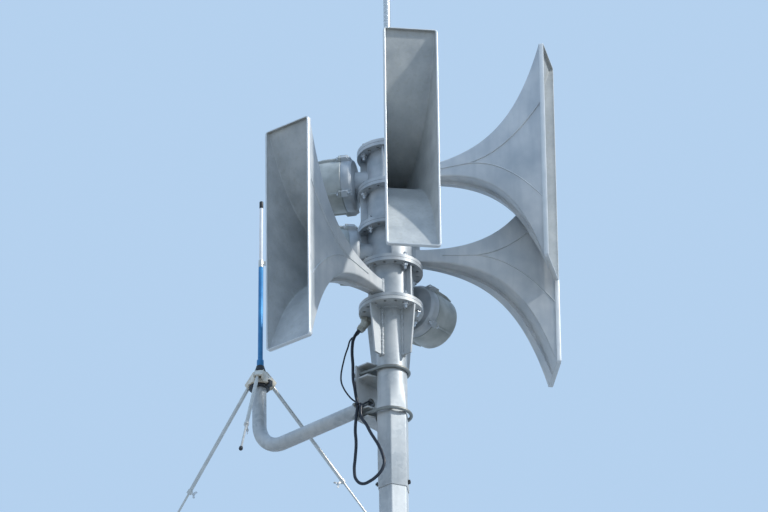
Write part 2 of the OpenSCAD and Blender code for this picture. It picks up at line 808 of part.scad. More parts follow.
// Catmull-Rom curve through the route's points, with a few rings between each pair.
function curve_point(p, i, t) =
    let (a = p[max(i - 1, 0)], b = p[i], c = p[i + 1], d = p[min(i + 2, len(p) - 1)])
    0.5 * (2 * b + (c - a) * t + (2 * a - 5 * b + 4 * c - d) * t * t
        + (3 * b - 3 * c + d - a) * t * t * t);
function smooth(p, steps) = concat(
    [for (i = [0 : len(p) - 2], k = [0 : steps - 1]) curve_point(p, i, k / steps)],
    [p[len(p) - 1]]
);
function tangent(p, i) = unit(p[min(i + 1, len(p) - 1)] - p[max(i - 1, 0)]);
function carried(p, i) =
    let (t = tangent(p, i), before = i == 0 ? [1, 0, 0] : carried(p, i - 1))
    unit(before - t * (before * t));

// A tube of eight sides along the points, closed at both ends.
module cable(points, r) {
    sides = 8;
    rings = len(points);
    skin_points = [for (i = [0 : rings - 1])
        let (t = tangent(points, i), n = carried(points, i), b = cross(t, n))
        for (k = [0 : sides - 1]) points[i] + r * (cos(360 * k / sides) * n + sin(360 * k / sides) * b)];
    wall_faces = [for (i = [0 : rings - 2], k = [0 : sides - 1])
        let (a = i * sides + k, b = i * sides + (k + 1) % sides) [a, a + sides, b + sides, b]];
    start_face = [for (k = [0 : sides - 1]) k];
    end_face = [for (k = [sides - 1 : -1 : 0]) (rings - 1) * sides + k];
    translate([0, 0, mast_h]) polyhedron(skin_points, concat([start_face, end_face], wall_faces));
}

module speaker_cable() {
    rings_between = 2;
    color("black") cable(smooth(speaker_route, rings_between), speaker_r);
}

module antenna_cable() {
    color("black") cable(coax_route, coax_r);
}

base_plate();
base_gussets();
mast_tube();
mast_sleeve();
cross_bolt();
head_flange();
head_gussets();
column_module(0);  // column_module_1
column_module(1);  // column_module_2
column_module(2);  // column_module_3
column_module(3);  // column_module_4
top_cap();
lightning_rod();
horn(0);  // horn_1
horn(1);  // horn_2
horn(2);  // horn_3
horn(3);  // horn_4
driver_ring(0);  // driver_ring_1
driver_ring(1);  // driver_ring_2
driver_ring(2);  // driver_ring_3
driver_ring(3);  // driver_ring_4
driver_cover(0);  // driver_cover_1
driver_cover(1);  // driver_cover_2
driver_cover(2);  // driver_cover_3
driver_cover(3);  // driver_cover_4
antenna_bracket();
antenna_arm();
u_bolt(u_upper_drop, pipe_r);  // upper_u_bolt
u_bolt(u_lower_drop, sleeve_corner_r);  // lower_u_bolt
arm_clamp();
antenna_hub();
hub_collar();
whip_lower();
whip_clamp();
whip_upper();
whip_cap();
radial(0);  // radial_front
radial(1);  // radial_right
radial(2);  // radial_left
cable_gland();
cable_clip();
speaker_cable();
antenna_cable();
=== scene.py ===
import math

import bmesh
import bpy
from mathutils import Matrix, Quaternion, Vector


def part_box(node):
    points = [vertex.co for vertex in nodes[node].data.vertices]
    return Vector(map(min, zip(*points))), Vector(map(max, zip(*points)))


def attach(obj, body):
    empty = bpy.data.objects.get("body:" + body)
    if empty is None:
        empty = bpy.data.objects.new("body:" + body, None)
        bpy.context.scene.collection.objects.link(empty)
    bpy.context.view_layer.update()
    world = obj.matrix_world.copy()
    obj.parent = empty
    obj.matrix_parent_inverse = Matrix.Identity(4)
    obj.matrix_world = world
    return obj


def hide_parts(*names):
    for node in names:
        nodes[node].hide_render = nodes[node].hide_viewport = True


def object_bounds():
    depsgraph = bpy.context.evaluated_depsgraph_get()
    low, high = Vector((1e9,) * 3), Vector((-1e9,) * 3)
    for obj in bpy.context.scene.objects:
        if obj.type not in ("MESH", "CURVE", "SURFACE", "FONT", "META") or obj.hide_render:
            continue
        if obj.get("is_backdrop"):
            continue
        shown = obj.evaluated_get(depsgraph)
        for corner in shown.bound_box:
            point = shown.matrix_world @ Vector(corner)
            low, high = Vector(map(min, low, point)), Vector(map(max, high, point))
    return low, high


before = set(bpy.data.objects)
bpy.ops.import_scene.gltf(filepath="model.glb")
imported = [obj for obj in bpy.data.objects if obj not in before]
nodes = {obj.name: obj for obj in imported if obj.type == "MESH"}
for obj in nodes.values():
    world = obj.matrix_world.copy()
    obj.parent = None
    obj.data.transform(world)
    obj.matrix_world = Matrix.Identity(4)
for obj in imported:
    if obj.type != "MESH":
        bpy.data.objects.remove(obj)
cad_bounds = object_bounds()

# Camera: stands well below the foot and looks up at the head through a long lens, level to within
# a degree of roll. Its place and lens are those from which the photographed side shows as it does.
camera_data = bpy.data.cameras.new("camera")
camera_data.lens = 334.9
camera_data.sensor_width = 36
camera_data.clip_end = 200
camera_place = Vector((0, -18.283, -7.017))
camera_target = Vector((-0.0187, 0, 3.3955))
camera_roll = math.radians(-0.788)
camera = bpy.data.objects.new("camera", camera_data)
camera_turn = (camera_target - camera_place).to_track_quat("-Z", "Y") @ Quaternion((0, 0, 1), camera_roll)
camera.location = camera_place
camera.rotation_euler = camera_turn.to_euler()
bpy.context.scene.collection.objects.link(camera)
bpy.context.scene.camera = camera


# Foot: a square plate with six gussets round the lower end of a hexagonal tube, all of rolled steel,
# welded and then dipped whole in zinc. Four anchor bolts with nuts and washers hold it down.
def linear(code):
    channels = [int(code[i : i + 2], 16) / 255 for i in (1, 3, 5)]
    return [c / 12.92 if c <= 0.04045 else ((c + 0.055) / 1.055) ** 2.4 for c in channels] + [1]


def add(material, kind, inputs=None, **settings):
    """Adds a node with its settings; an input is a value or another node's output socket."""
    node = material.node_tree.nodes.new(kind)
    for name, value in settings.items():
        setattr(node, name, value)
    for name, value in (inputs or {}).items():
        if isinstance(value, bpy.types.NodeSocket):
            material.node_tree.links.new(value, node.inputs[name])
        else:
            node.inputs[name].default_value = value
    return node


def blank(name):
    """A material without nodes, and the socket that gives a point's place on the object."""
    material = bpy.data.materials.new(name)
    material.use_nodes = True
    material.node_tree.nodes.clear()
    return material, add(material, "ShaderNodeTexCoord").outputs["Object"]


# Hot-dip galvanised steel: zinc crystals of about 11 mm that differ a little in shade under clouds of
# white bloom, with a fine orange-peel. It gives a bluish satin grey with broad soft highlights.
galvanised, place = blank("galvanised_steel")
cells = add(galvanised, "ShaderNodeTexVoronoi", {"Vector": place, "Scale": 1000 / 11})
shade = add(galvanised, "ShaderNodeSeparateColor", {"Color": cells.outputs["Color"]})
cloud = add(galvanised, "ShaderNodeTexNoise", {"Vector": place, "Scale": 1000 / 130, "Detail": 5})
runs = add(galvanised, "ShaderNodeMapping", {"Vector": place, "Scale": (1, 1, 0.12)})
streak = add(galvanised, "ShaderNodeTexNoise", {"Vector": runs.outputs["Vector"], "Scale": 1000 / 22})
grain = add(galvanised, "ShaderNodeTexNoise", {"Vector": place, "Scale": 1000 / 6, "Detail": 4})
zinc = add(galvanised, "ShaderNodeMix", {
    0: shade.outputs["Red"], 6: linear("#A2ABB1"), 7: linear("#B9C0C4")}, data_type="RGBA")
bloom = add(galvanised, "ShaderNodeMapRange", {
    "Value": cloud.outputs["Fac"], "From Min": 0.35, "From Max": 0.68})
clouded = add(galvanised, "ShaderNodeMix", {
    0: bloom.outputs["Result"], 6: zinc.outputs[2], 7: linear("#C7CBCC")}, data_type="RGBA")
washed = add(galvanised, "ShaderNodeMapRange", {
    "Value": streak.outputs["Fac"], "From Min": 0.5, "From Max": 0.75, "To Max": 0.35})
tone = add(galvanised, "ShaderNodeMix", {
    0: washed.outputs["Result"], 6: clouded.outputs[2], 7: linear("#8F989D")}, data_type="RGBA")
rough = add(galvanised, "ShaderNodeMapRange", {
    "Value": cloud.outputs["Fac"], "From Min": 0.3, "From Max": 0.7, "To Min": 0.42, "To Max": 0.56})
relief = add(galvanised, "ShaderNodeBump", {
    "Height": grain.outputs["Fac"], "Distance": 0.00014, "Strength": 0.5})
surface = add(galvanised, "ShaderNodeBsdfPrincipled", {
    "Base Color": tone.outputs[2], "Metallic": 0.2, "Roughness": rough.outputs["Result"],
    "Normal": relief.outputs["Normal"]})
add(galvanised, "ShaderNodeOutputMaterial", {"Surface": surface.outputs["BSDF"]})


def weathered(name, colours, patch_mm, detail, roughness, span=(0, 1), rugged=0.5, metallic=0.0,
              film=None, sand=None):
    """A surface in soft patches of two colours, with a film of a third or a sand grain over them.

    Span is the range of the patches' noise that shows. Roughness is one value, or two that follow
    the patches. Film and sand are given as dictionaries, each with its own size in millimetres."""
    material, place = blank(name)
    cloud = add(material, "ShaderNodeTexNoise", {
        "Vector": place, "Scale": 1000 / patch_mm, "Detail": detail, "Roughness": rugged})
    worn = add(material, "ShaderNodeMapRange", {
        "Value": cloud.outputs["Fac"], "From Min": span[0], "From Max": span[1]})
    tone = add(material, "ShaderNodeMix", {
        0: worn.outputs["Result"], 6: linear(colours[0]), 7: linear(colours[1])}, data_type="RGBA")
    if film:
        runs = add(material, "ShaderNodeMapping", {"Vector": place, "Scale": (1, 1, film["stretch"])})
        streak = add(material, "ShaderNodeTexNoise", {
            "Vector": runs.outputs["Vector"], "Scale": 1000 / film["mm"], "Detail": film["detail"]})
        washed = add(material, "ShaderNodeMapRange", {
            "Value": streak.outputs["Fac"], "From Min": film["span"][0], "From Max": film["span"][1],
            "To Max": film["share"]})
        tone = add(material, "ShaderNodeMix", {
            0: washed.outputs["Result"], 6: tone.outputs[2], 7: linear(film["colour"])},
            data_type="RGBA")
    if isinstance(roughness, tuple):
        roughness = add(material, "ShaderNodeMapRange", {
            "Value": cloud.outputs["Fac"], "From Min": 0.3, "From Max": 0.7,
            "To Min": roughness[0], "To Max": roughness[1]}).outputs["Result"]
    inputs = {"Base Color": tone.outputs[2], "Metallic": metallic, "Roughness": roughness}
    if sand:
        grain = add(material, "ShaderNodeTexNoise", {
            "Vector": place, "Scale": 1000 / sand["mm"], "Detail": sand["detail"]})
        inputs["Normal"] = add(material, "ShaderNodeBump", {
            "Height": grain.outputs["Fac"], "Distance": sand["depth"],
            "Strength": sand["strength"]}).outputs["Normal"]
    surface = add(material, "ShaderNodeBsdfPrincipled", inputs)
    add(material, "ShaderNodeOutputMaterial", {"Surface": surface.outputs["BSDF"]})
    return material


# Stainless steel of the fasteners: clean and bright, with a little less gloss where hands and rain
# have been. It gives small sharp glints.
stainless = weathered(
    "stainless_steel", ("#B4B7B9", "#DCDEDF"), patch_mm=5, detail=3, roughness=(0.18, 0.34),
    metallic=0.7)


def shown(piece):
    """Links a piece and lets it ride on the tower."""
    bpy.context.scene.collection.objects.link(piece)
    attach(piece, "root")
    return piece


def finished(name, bm, materials, smooth_degrees=35, stands_for=()):
    """Turns a bmesh into a piece with its materials, smooth shading and the nodes it stands for."""
    bmesh.ops.recalc_face_normals(bm, faces=bm.faces)
    mesh = bpy.data.meshes.new(name)
    bm.to_mesh(mesh)
    bm.free()
    for material in materials:
        mesh.materials.append(material)
    mesh.shade_smooth()
    mesh.set_sharp_from_angle(angle=math.radians(smooth_degrees))
    piece = shown(bpy.data.objects.new(name, mesh))
    if stands_for:
        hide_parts(*stands_for)
    return piece


def dressed(node, material, edge_mm, turn=0.0):
    """A copy of a CAD node with its edges broken, that stands for the node."""
    bm = bmesh.new()
    bm.from_mesh(nodes[node].data)
    bmesh.ops.remove_doubles(bm, verts=bm.verts, dist=1e-5)
    bmesh.ops.dissolve_limit(bm, angle_limit=math.radians(0.6), verts=bm.verts, edges=bm.edges)
    bmesh.ops.rotate(bm, verts=bm.verts, matrix=Matrix.Rotation(math.radians(turn), 3, "Z"))
    bmesh.ops.recalc_face_normals(bm, faces=bm.faces)
    mesh = bpy.data.meshes.new(node + "_dressed")
    bm.to_mesh(mesh)
    bm.free()
    mesh.materials.append(material)
    mesh.shade_smooth()
    piece = shown(bpy.data.objects.new(node + "_dressed", mesh))
    bevel = piece.modifiers.new("broken_edges", "BEVEL")
    bevel.width = edge_mm / 1000
    bevel.segments = 2
    bevel.limit_method = "ANGLE"
    bevel.angle_limit = math.radians(38)
    bevel.miter_outer = "MITER_ARC"
    normals = piece.modifiers.new("flat_faces", "WEIGHTED_NORMAL")
    normals.keep_sharp = True
    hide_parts(node)
    return piece


def first_ring(bm, count):
    """A closed ring of vertices, in order round the ring."""
    verts = bmesh.ops.create_circle(bm, segments=count, radius=0.01)["verts"]
    loop = [verts[0]]
    while len(loop) < count:
        beside = [e.other_vert(loop[-1]) for e in loop[-1].link_edges]
        loop.append(next(v for v in beside if v not in loop[-2:]))
    return loop


def next_ring(bm, verts):
    """Extrudes a closed ring of vertices and returns the new ring in the same order."""
    edges = [bm.edges.get((a, b)) for a, b in zip(verts, verts[1:] + verts[:1])]
    made = bmesh.ops.extrude_edge_only(bm, edges=edges)["geom"]
    fresh = {v for v in made if isinstance(v, bmesh.types.BMVert)}
    return [next(e.other_vert(v) for e in v.link_edges if e.other_vert(v) in fresh) for v in verts]


def add_loft(bm, rings, closed=False, finishes=None):
    """A skin through rings of equally many points, with flat ends or closed back on itself."""
    first = first_ring(bm, len(rings[0]))
    for vert, point in zip(first, rings[0]):
        vert.co = point
    loop = first
    for step, ring in enumerate(rings[1:], 1):
        before = set(bm.faces) if finishes else None
        loop = next_ring(bm, loop)
        for vert, point in zip(loop, ring):
            vert.co = point
        if finishes:
            for face in set(bm.faces) - before:
                face.material_index = finishes[step]
    if closed:
        bmesh.ops.bridge_loops(bm, edges=[
            bm.edges.get((a, b)) for ends in (first, loop) for a, b in zip(ends, ends[1:] + ends[:1])])
    else:
        bm.faces.new(first)
        bm.faces.new(loop)
    return first, loop


def add_turned(bm, place, profile, segments=32):
    """A turned piece about local Z from (radius, height) pairs; six segments make a hexagon."""
    angles = [2 * math.pi * i / segments for i in range(segments)]
    add_loft(bm, [[place @ Vector((r * math.cos(a), r * math.sin(a), z)) for a in angles]
                  for r, z in profile])


def add_bolt_head(bm, place, size):
    """Washer and hexagon standing on local z = 0; size is the thread's diameter."""
    add_turned(bm, place, [(0.97 * size, 0), (size, 0.04 * size), (size, 0.16 * size),
                           (0.97 * size, 0.2 * size)], 24)
    add_turned(bm, place, [(0.86 * size, 0.2 * size), (0.98 * size, 0.28 * size),
                           (0.98 * size, 0.78 * size), (0.84 * size, 0.88 * size)], 6)


def add_nut(bm, place, size, past):
    """Washer, nut and the thread's end, standing on local z = 0."""
    add_bolt_head(bm, place, size)
    thread = [(0.5 * size, 0.8 * size)]
    turns = int(past / 0.0015)
    for i in range(turns):
        z = 0.9 * size + past * i / turns
        thread += [(0.5 * size, z), (0.44 * size, z + 0.4 * past / turns)]
    add_turned(bm, place, thread + [(0.36 * size, 0.94 * size + past)], 16)


hex_turn = -97.5
turned_by = 1.0
dressed("base_plate", galvanised, edge_mm=1.5)
dressed("base_gussets", galvanised, edge_mm=1.0, turn=turned_by)
base_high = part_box("base_plate")[1]
anchor_half_pitch = 0.120
anchor_size = 0.020
bm = bmesh.new()
for x in (-anchor_half_pitch, anchor_half_pitch):
    for y in (-anchor_half_pitch, anchor_half_pitch):
        add_nut(bm, Matrix.Translation((x, y, base_high.z)), anchor_size, 0.022)
finished("anchor_nuts", bm, [stainless])


# Weld beads: hand-laid fillets, each a row of overlapping ripples, dipped with the steel. They join
# the tube's six sides and both faces of each gusset to the foot.
def add_weld(bm, points, radius, pitch=0.0046):
    """Ripples of a weld along a polyline; the radius is that of the bead."""
    for start, end in zip(points, points[1:]):
        run = (end - start).length
        count = max(1, int(run / pitch))
        for i in range(count):
            wobble = 1 + 0.3 * math.sin(2.1 * i) * math.cos(0.7 * i)
            place = Matrix.Translation(start.lerp(end, (i + 0.5) / count))
            bmesh.ops.create_icosphere(bm, subdivisions=1, radius=radius * wobble, matrix=place)


tube_corner = 0.0465
tube_face = tube_corner * math.cos(math.radians(30))
base_gusset_h, gusset_half_t = 0.140, 0.0045
edge_bead_r, gusset_bead_r = 0.0042, 0.0034
bm = bmesh.new()
for i in range(6):
    corner = [math.radians(hex_turn + 60 * k) for k in (i, i + 1)]
    ends = [Vector((tube_corner * math.cos(a), tube_corner * math.sin(a), base_high.z)) for a in corner]
    add_weld(bm, ends, edge_bead_r)
    middle = math.radians(hex_turn + 30 + 60 * i)
    for side in (-1, 1):
        foot = Vector((tube_face * math.cos(middle), tube_face * math.sin(middle), base_high.z))
        foot += Vector((-math.sin(middle), math.cos(middle), 0)) * side * gusset_half_t
        add_weld(bm, [foot, foot + Vector((0, 0, base_gusset_h))], gusset_bead_r)
finished("foot_welds", bm, [galvanised], smooth_degrees=80)

# Mast tubes: the lower one is hexagonal. The upper one is a round pipe under the head, pressed over
# its length into a hexagon of rolled corners that slides down over the lower tube.
head_low, head_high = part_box("head_flange")
pipe_r = 0.04445
sleeve_corner = 0.0492
sleeve_wall = 0.002
round_until, hex_from, sleeve_end = 0.240, 0.330, 0.586
corner_sharpness = 55
corner_offsets = [-30, -22, -14, -9, -6, -4, -2.5, -1, 1, 2.5, 4, 6, 9, 14, 22]


def tube_section(z, share, corner, inset=0.0):
    """A ring that is round at share 0 and a hexagon with rolled corners at share 1."""
    points = []
    for k in range(6):
        for offset in corner_offsets:
            angle = math.radians(hex_turn + 60 * k + offset)
            faces = [math.cos(angle - math.radians(hex_turn + 30 + 60 * f)) for f in range(6)]
            flat = corner * math.cos(math.radians(30)) / sum(
                max(0, c) ** corner_sharpness for c in faces) ** (1 / corner_sharpness)
            radius = (1 - share) * pipe_r + share * flat - inset
            points.append(Vector((radius * math.cos(angle), radius * math.sin(angle), z)))
    return points


bm = bmesh.new()
top = head_low.z
rings = [tube_section(top, 0, sleeve_corner), tube_section(top - round_until, 0, sleeve_corner)]
for i in range(1, 10):
    share = i / 10
    rings.append(tube_section(top - round_until - (hex_from - round_until) * share,
                              share * share * (3 - 2 * share), sleeve_corner))
rings += [tube_section(top - drop, 1, sleeve_corner, inset) for drop, inset in (
    (hex_from, 0), (sleeve_end - 0.001, 0), (sleeve_end, 0.0006), (sleeve_end, sleeve_wall - 0.0004),
    (sleeve_end - 0.06, sleeve_wall))]
add_loft(bm, rings)
finished("upper_mast_tube", bm, [galvanised], smooth_degrees=40,
         stands_for=["mast_sleeve"])

bm = bmesh.new()
add_loft(bm, [tube_section(z, 1, tube_corner) for z in (base_high.z, top - sleeve_end + 0.055)])
finished("lower_mast_tube", bm, [galvanised], smooth_degrees=40,
         stands_for=["mast_tube"])

# Cross bolt: pins the two tubes together just above the sleeve's end, head on one side and nut on
# the other. It is black-oxidised steel, so its ends show as dark blobs at both outlines.

# Black oxide: near black with a brown cast, dull.
oxide = weathered(
    "black_oxide_steel", ("#26292D", "#4C4A47"), patch_mm=7, detail=4, roughness=0.48, metallic=0.8)

cross_rise, cross_size, cross_past = 0.025, 0.0075, 0.003
sleeve_face = sleeve_corner * math.cos(math.radians(30))
bm = bmesh.new()
for turn in (0, 180):
    place = (Matrix.Translation((0, 0, top - sleeve_end + cross_rise))
             @ Matrix.Rotation(math.radians(hex_turn + 90 + turn), 4, "Z")
             @ Matrix.Rotation(math.radians(90), 4, "Y") @ Matrix.Translation((0, 0, sleeve_face)))
    add_nut(bm, place, cross_size, cross_past if turn else 0.0005)
finished("cross_bolt_set", bm, [oxide], stands_for=["cross_bolt"])


# Mast head: a flange on the round pipe with four tapered gussets, all welded and galvanised. The
# column stands on it, bolted flange to flange.
def ring_points(radius, z, first, last, step=6):
    """Points along an arc about the mast axis; angles in degrees."""
    count = max(2, int(abs(last - first) / step))
    angles = [math.radians(first + (last - first) * i / count) for i in range(count + 1)]
    return [Vector((radius * math.cos(a), radius * math.sin(a), z)) for a in angles]


gusset_azimuths = [-131, -41, 49, 139]
gusset_h, gusset_top_r = 0.156, 0.090
seam_bead_r, rim_bead_r = 0.0052, 0.0032
dressed("head_flange", galvanised, edge_mm=0.9)
dressed("head_gussets", galvanised, edge_mm=0.8)
bm = bmesh.new()
for azimuth in gusset_azimuths:
    turn = math.radians(azimuth)
    outward = Vector((math.cos(turn), math.sin(turn), 0))
    across = Vector((-math.sin(turn), math.cos(turn), 0))
    for side in (-1, 1):
        seam = outward * (pipe_r + 0.001) + across * side * gusset_half_t + Vector((0, 0, head_low.z))
        add_weld(bm, [seam, seam - Vector((0, 0, gusset_h))], seam_bead_r)
        rim = outward * gusset_top_r + across * side * 0.0042 + Vector((0, 0, head_low.z))
        add_weld(bm, [seam, rim], rim_bead_r)
add_weld(bm, ring_points(pipe_r + 0.002, head_low.z, 0, 360), seam_bead_r)
finished("head_welds", bm, [galvanised], smooth_degrees=80)

# Column modules: flanged cylinders of sand-cast aluminium with four fins, turned on the joint faces
# only, and a cap of the same metal that carries the lightning rod.

# Cast aluminium: satin grey with a blue cast, paler where it has weathered, and a fine sand grain.
cast = weathered(
    "cast_aluminium", ("#98A1A8", "#C3C7C9"), patch_mm=60, detail=6, roughness=(0.4, 0.56),
    span=(0.32, 0.68), metallic=0.22,
    sand=dict(mm=1.8, detail=3, depth=0.00016, strength=0.6))

for index in range(1, 5):
    dressed(f"column_module_{index}", cast, edge_mm=1.2)
dressed("top_cap", cast, edge_mm=1.2)

# Lightning rod: a drawn stainless bar, pointed at the top, that stands up from the cap on the
# column's axis.
dressed("lightning_rod", stainless, edge_mm=0.6)

# Flange bolts: stainless studs with a washer and nut on both sides, five to the mast head's joint
# and four to each joint above it.
module_h = 0.131
flange_t = 0.0105
bolt_circle = 0.080
bolt_size = 0.010
joint_bolts = [[-57.5 + 45 * k for k in range(5)], [-57.5 + 90 * k for k in range(4)],
               [-136.25 + 90 * k for k in range(4)]] + [[-158.75 + 90 * k for k in range(4)]] * 2
bm = bmesh.new()
for joint, azimuths in enumerate(joint_bolts):
    joint_z = head_high.z + joint * module_h
    for azimuth in azimuths:
        turn = Matrix.Rotation(math.radians(azimuth), 4, "Z")
        twist = Matrix.Rotation(math.radians(17 * joint + azimuth), 4, "Z")
        upper = turn @ Matrix.Translation((bolt_circle, 0, joint_z + flange_t)) @ twist
        lower = turn @ Matrix.Translation((bolt_circle, 0, joint_z - flange_t)) @ twist
        add_nut(bm, upper, bolt_size, 0.008)
        add_nut(bm, lower @ Matrix.Rotation(math.pi, 4, "X"), bolt_size, 0.009)
finished("flange_bolts", bm, [stainless])

# Gaskets: thin rings of grey rubber between the flanges, squeezed out a little all round. There is
# one at every joint, from the mast head's to the cap's.

# Gasket rubber: matt dark grey, dusty.
gasket = weathered(
    "gasket_rubber", ("#3A3D40", "#565A5E"), patch_mm=12, detail=4, roughness=0.7)
flange_r = 0.095
bm = bmesh.new()
for joint in range(5):
    joint_z = head_high.z + joint * module_h
    add_turned(bm, Matrix.Translation((0, 0, joint_z)), [
        (flange_r - 0.002, -0.0006), (flange_r + 0.0002, -0.0004), (flange_r + 0.0002, 0.0004),
        (flange_r - 0.002, 0.0006)], 96)
finished("joint_gaskets", bm, [gasket])

# Horns: one-piece aluminium castings with a slot mouth. The height follows a hyperbolic cosine and
# the sides are flat. A collar stiffens the mouth, a seam rib runs along the flare, and a raised
# bead forks over each side wall. Each stands flush against its column module.

# Outside skin: pale satin aluminium with large soft patches and faint rain streaks.
horn_skin = weathered(
    "horn_casting", ("#AEB6BC", "#D0D3D4"), patch_mm=95, detail=6, roughness=(0.4, 0.56),
    span=(0.32, 0.68), metallic=0.22,
    film=dict(mm=26, detail=2, stretch=0.15, span=(0.48, 0.75), share=0.4, colour="#A3ACB3"),
    sand=dict(mm=2, detail=3, depth=0.00014, strength=0.5))

# Inside of the bell: the same casting, duller and mottled by dust and damp; its darker, greener colour is
# partly painted shade of the bell's hollow and a painted reflection of the brown ground.
horn_bore = weathered(
    "horn_bore", ("#A3A9AC", "#BDC2C3"), patch_mm=55, detail=7, roughness=(0.44, 0.64),
    span=(0.3, 0.68), rugged=0.6, metallic=0.15,
    film=dict(mm=9, detail=4, stretch=1, span=(0.52, 0.72), share=0.3, colour="#9C9E93"),
    sand=dict(mm=9, detail=4, depth=0.0002, strength=0.5))

# Rim of the mouth: flat all round, its colour lighter than the skin's as a painted highlight of its sunlit
# face, nearly white in the sun.
horn_rim_painted_highlight = weathered(
    "horn_rim_painted_highlight", ("#C2C7C9", "#DCDFE0"), patch_mm=30, detail=4, roughness=(0.34, 0.48), metallic=0.4)

horn_aims = [-127.5, 8.5, -82.0, -12.0]
horn_axis_rise = 0.0485
root_s, flare_s, mouth_s, collar_d = 0.072, 0.088, 0.4885, 0.014
lip_s = mouth_s - collar_d
throat_h, throat_w, mouth_h, mouth_w = 0.042, 0.047, 0.728, 0.160
collar_rise, horn_wall = 0.003, 0.004
flare_end = mouth_h / 2 - collar_rise
flare_k = math.acosh(2 * flare_end / throat_h) / (lip_s - flare_s)
side_slope = ((mouth_w - throat_w) / 2 - collar_rise) / (lip_s - flare_s)


def half_height(s):
    return throat_h / 2 * math.cosh(flare_k * max(0, s - flare_s))


def half_width(s):
    return throat_w / 2 + side_slope * max(0, s - flare_s)


def flare_slope(s):
    return throat_h / 2 * flare_k * math.sinh(flare_k * max(0, s - flare_s))


def rounded_section(s, half_w, half_h, corner):
    """A ring of 24 points on a rounded rectangle at distance s."""
    points = []
    for i in range(24):
        quarter, step = divmod(i, 6)
        angle = math.radians(90 * (quarter + step / 5))
        sign_y = 1 if quarter in (0, 3) else -1
        sign_z = 1 if quarter in (0, 1) else -1
        points.append(Vector((s, sign_y * (half_w - corner) + corner * math.cos(angle),
                              sign_z * (half_h - corner) + corner * math.sin(angle))))
    return points


def horn_stations():
    """Rings of the casting, outside from the root to the mouth and back inside, with their finish."""
    steps = 44
    outside = [flare_s + (lip_s - flare_s) * (i / steps) ** 0.9 for i in range(steps + 1)]
    yield root_s, half_width(flare_s), half_height(flare_s), 0.006, 0
    for s in outside:
        yield s, half_width(s), half_height(s), 0.006, 0
    edge = 0.0012
    out_w, out_h = mouth_w / 2, mouth_h / 2
    yield lip_s, out_w - edge, out_h - edge, 0.008, 0
    yield lip_s + 0.35 * edge, out_w - 0.35 * edge, out_h - 0.35 * edge, 0.0087, 0
    yield lip_s + edge, out_w, out_h, 0.009, 0
    yield mouth_s - edge, out_w, out_h, 0.009, 2
    yield mouth_s - 0.35 * edge, out_w - 0.35 * edge, out_h - 0.35 * edge, 0.0087, 2
    yield mouth_s, out_w - edge, out_h - edge, 0.008, 2
    slant = math.hypot(1, side_slope)
    in_w = half_width(lip_s) - horn_wall * slant
    in_h = flare_end - horn_wall / math.hypot(1, flare_slope(lip_s))
    yield mouth_s, in_w + 2 * edge, in_h + edge, 0.005, 2
    yield mouth_s - 0.5 * edge, in_w + 1.2 * edge, in_h + 0.4 * edge, 0.005, 2
    yield mouth_s - 2 * edge, in_w + edge, in_h, 0.005, 1
    for s in reversed(outside):
        lean = math.hypot(1, flare_slope(s))
        inner_s = s + horn_wall * flare_slope(s) / lean
        yield inner_s, half_width(inner_s) - horn_wall * slant, half_height(s) - horn_wall / lean, 0.005, 1
    yield root_s - 0.001, half_width(flare_s) - horn_wall * slant, throat_h / 2 - horn_wall, 0.005, 1


def add_seam_rib(bm, side):
    """The rib left by the mould's parting line, along the top or the bottom of the flare."""
    half, rise, sunk = 0.0025, 0.0095, 0.001
    rings = []
    count = 40
    for i in range(count + 1):
        s = flare_s + (lip_s - flare_s) * i / count
        lean = math.hypot(1, flare_slope(s))
        tall = rise * min(1, 0.15 + 4 * i / count, 0.3 + 0.15 * (count - i))
        low = (s + sunk * flare_slope(s) / lean, half_height(s) - sunk / lean)
        high = (s - tall * flare_slope(s) / lean, half_height(s) + tall / lean)
        rings.append([Vector((low[0], -half, side * low[1])), Vector((high[0], -0.7 * half, side * high[1])),
                      Vector((high[0], 0.7 * half, side * high[1])), Vector((low[0], half, side * low[1]))])
    add_loft(bm, rings)


def add_bead(bm, points, side):
    """A low rounded bead that lies on a side wall along (s, z) points."""
    half, rise, sunk = 0.0026, 0.0024, 0.0012
    rings = []
    for i, (s, z) in enumerate(points):
        before, after = points[max(0, i - 1)], points[min(len(points) - 1, i + 1)]
        run = Vector((after[0] - before[0], after[1] - before[1])).normalized() * half
        wall = side * half_width(s)
        rings.append([
            Vector((s - run.y, side * (half_width(s - run.y) - sunk), z + run.x)),
            Vector((s - run.y * 0.3, wall + side * rise, z + run.x * 0.3)),
            Vector((s + run.y * 0.3, wall + side * rise, z - run.x * 0.3)),
            Vector((s + run.y, side * (half_width(s + run.y) - sunk), z - run.x)),
        ])
    add_loft(bm, rings)


bead_start, fork_s, fork_rise = 0.150, 0.235, 0.160
for index, aim in enumerate(horn_aims):
    bm = bmesh.new()
    stations = list(horn_stations())
    add_loft(bm, [rounded_section(*station[:4]) for station in stations], closed=True,
             finishes=[station[4] for station in stations])
    for side in (-1, 1):
        add_seam_rib(bm, side)
        add_bead(bm, [(bead_start + (fork_s - bead_start) * i / 4, 0) for i in range(5)], side)
        for arm in (-1, 1):
            curve = [i / 16 for i in range(17)]
            add_bead(bm, [(fork_s + (lip_s - fork_s) * t, arm * fork_rise * t * t) for t in curve], side)
    axis_z = head_high.z + index * module_h + horn_axis_rise
    place = Matrix.Translation((0, 0, axis_z)) @ Matrix.Rotation(math.radians(aim), 4, "Z")
    bmesh.ops.transform(bm, matrix=place, verts=bm.verts)
    # The inside of the bell takes the darker colour with its painted shade, and the rim takes the lighter
    # one with its painted highlight.
    finished(f"horn_casting_{index + 1}", bm, [horn_skin, horn_bore, horn_rim_painted_highlight], smooth_degrees=30,
             stands_for=[f"horn_{index + 1}"])
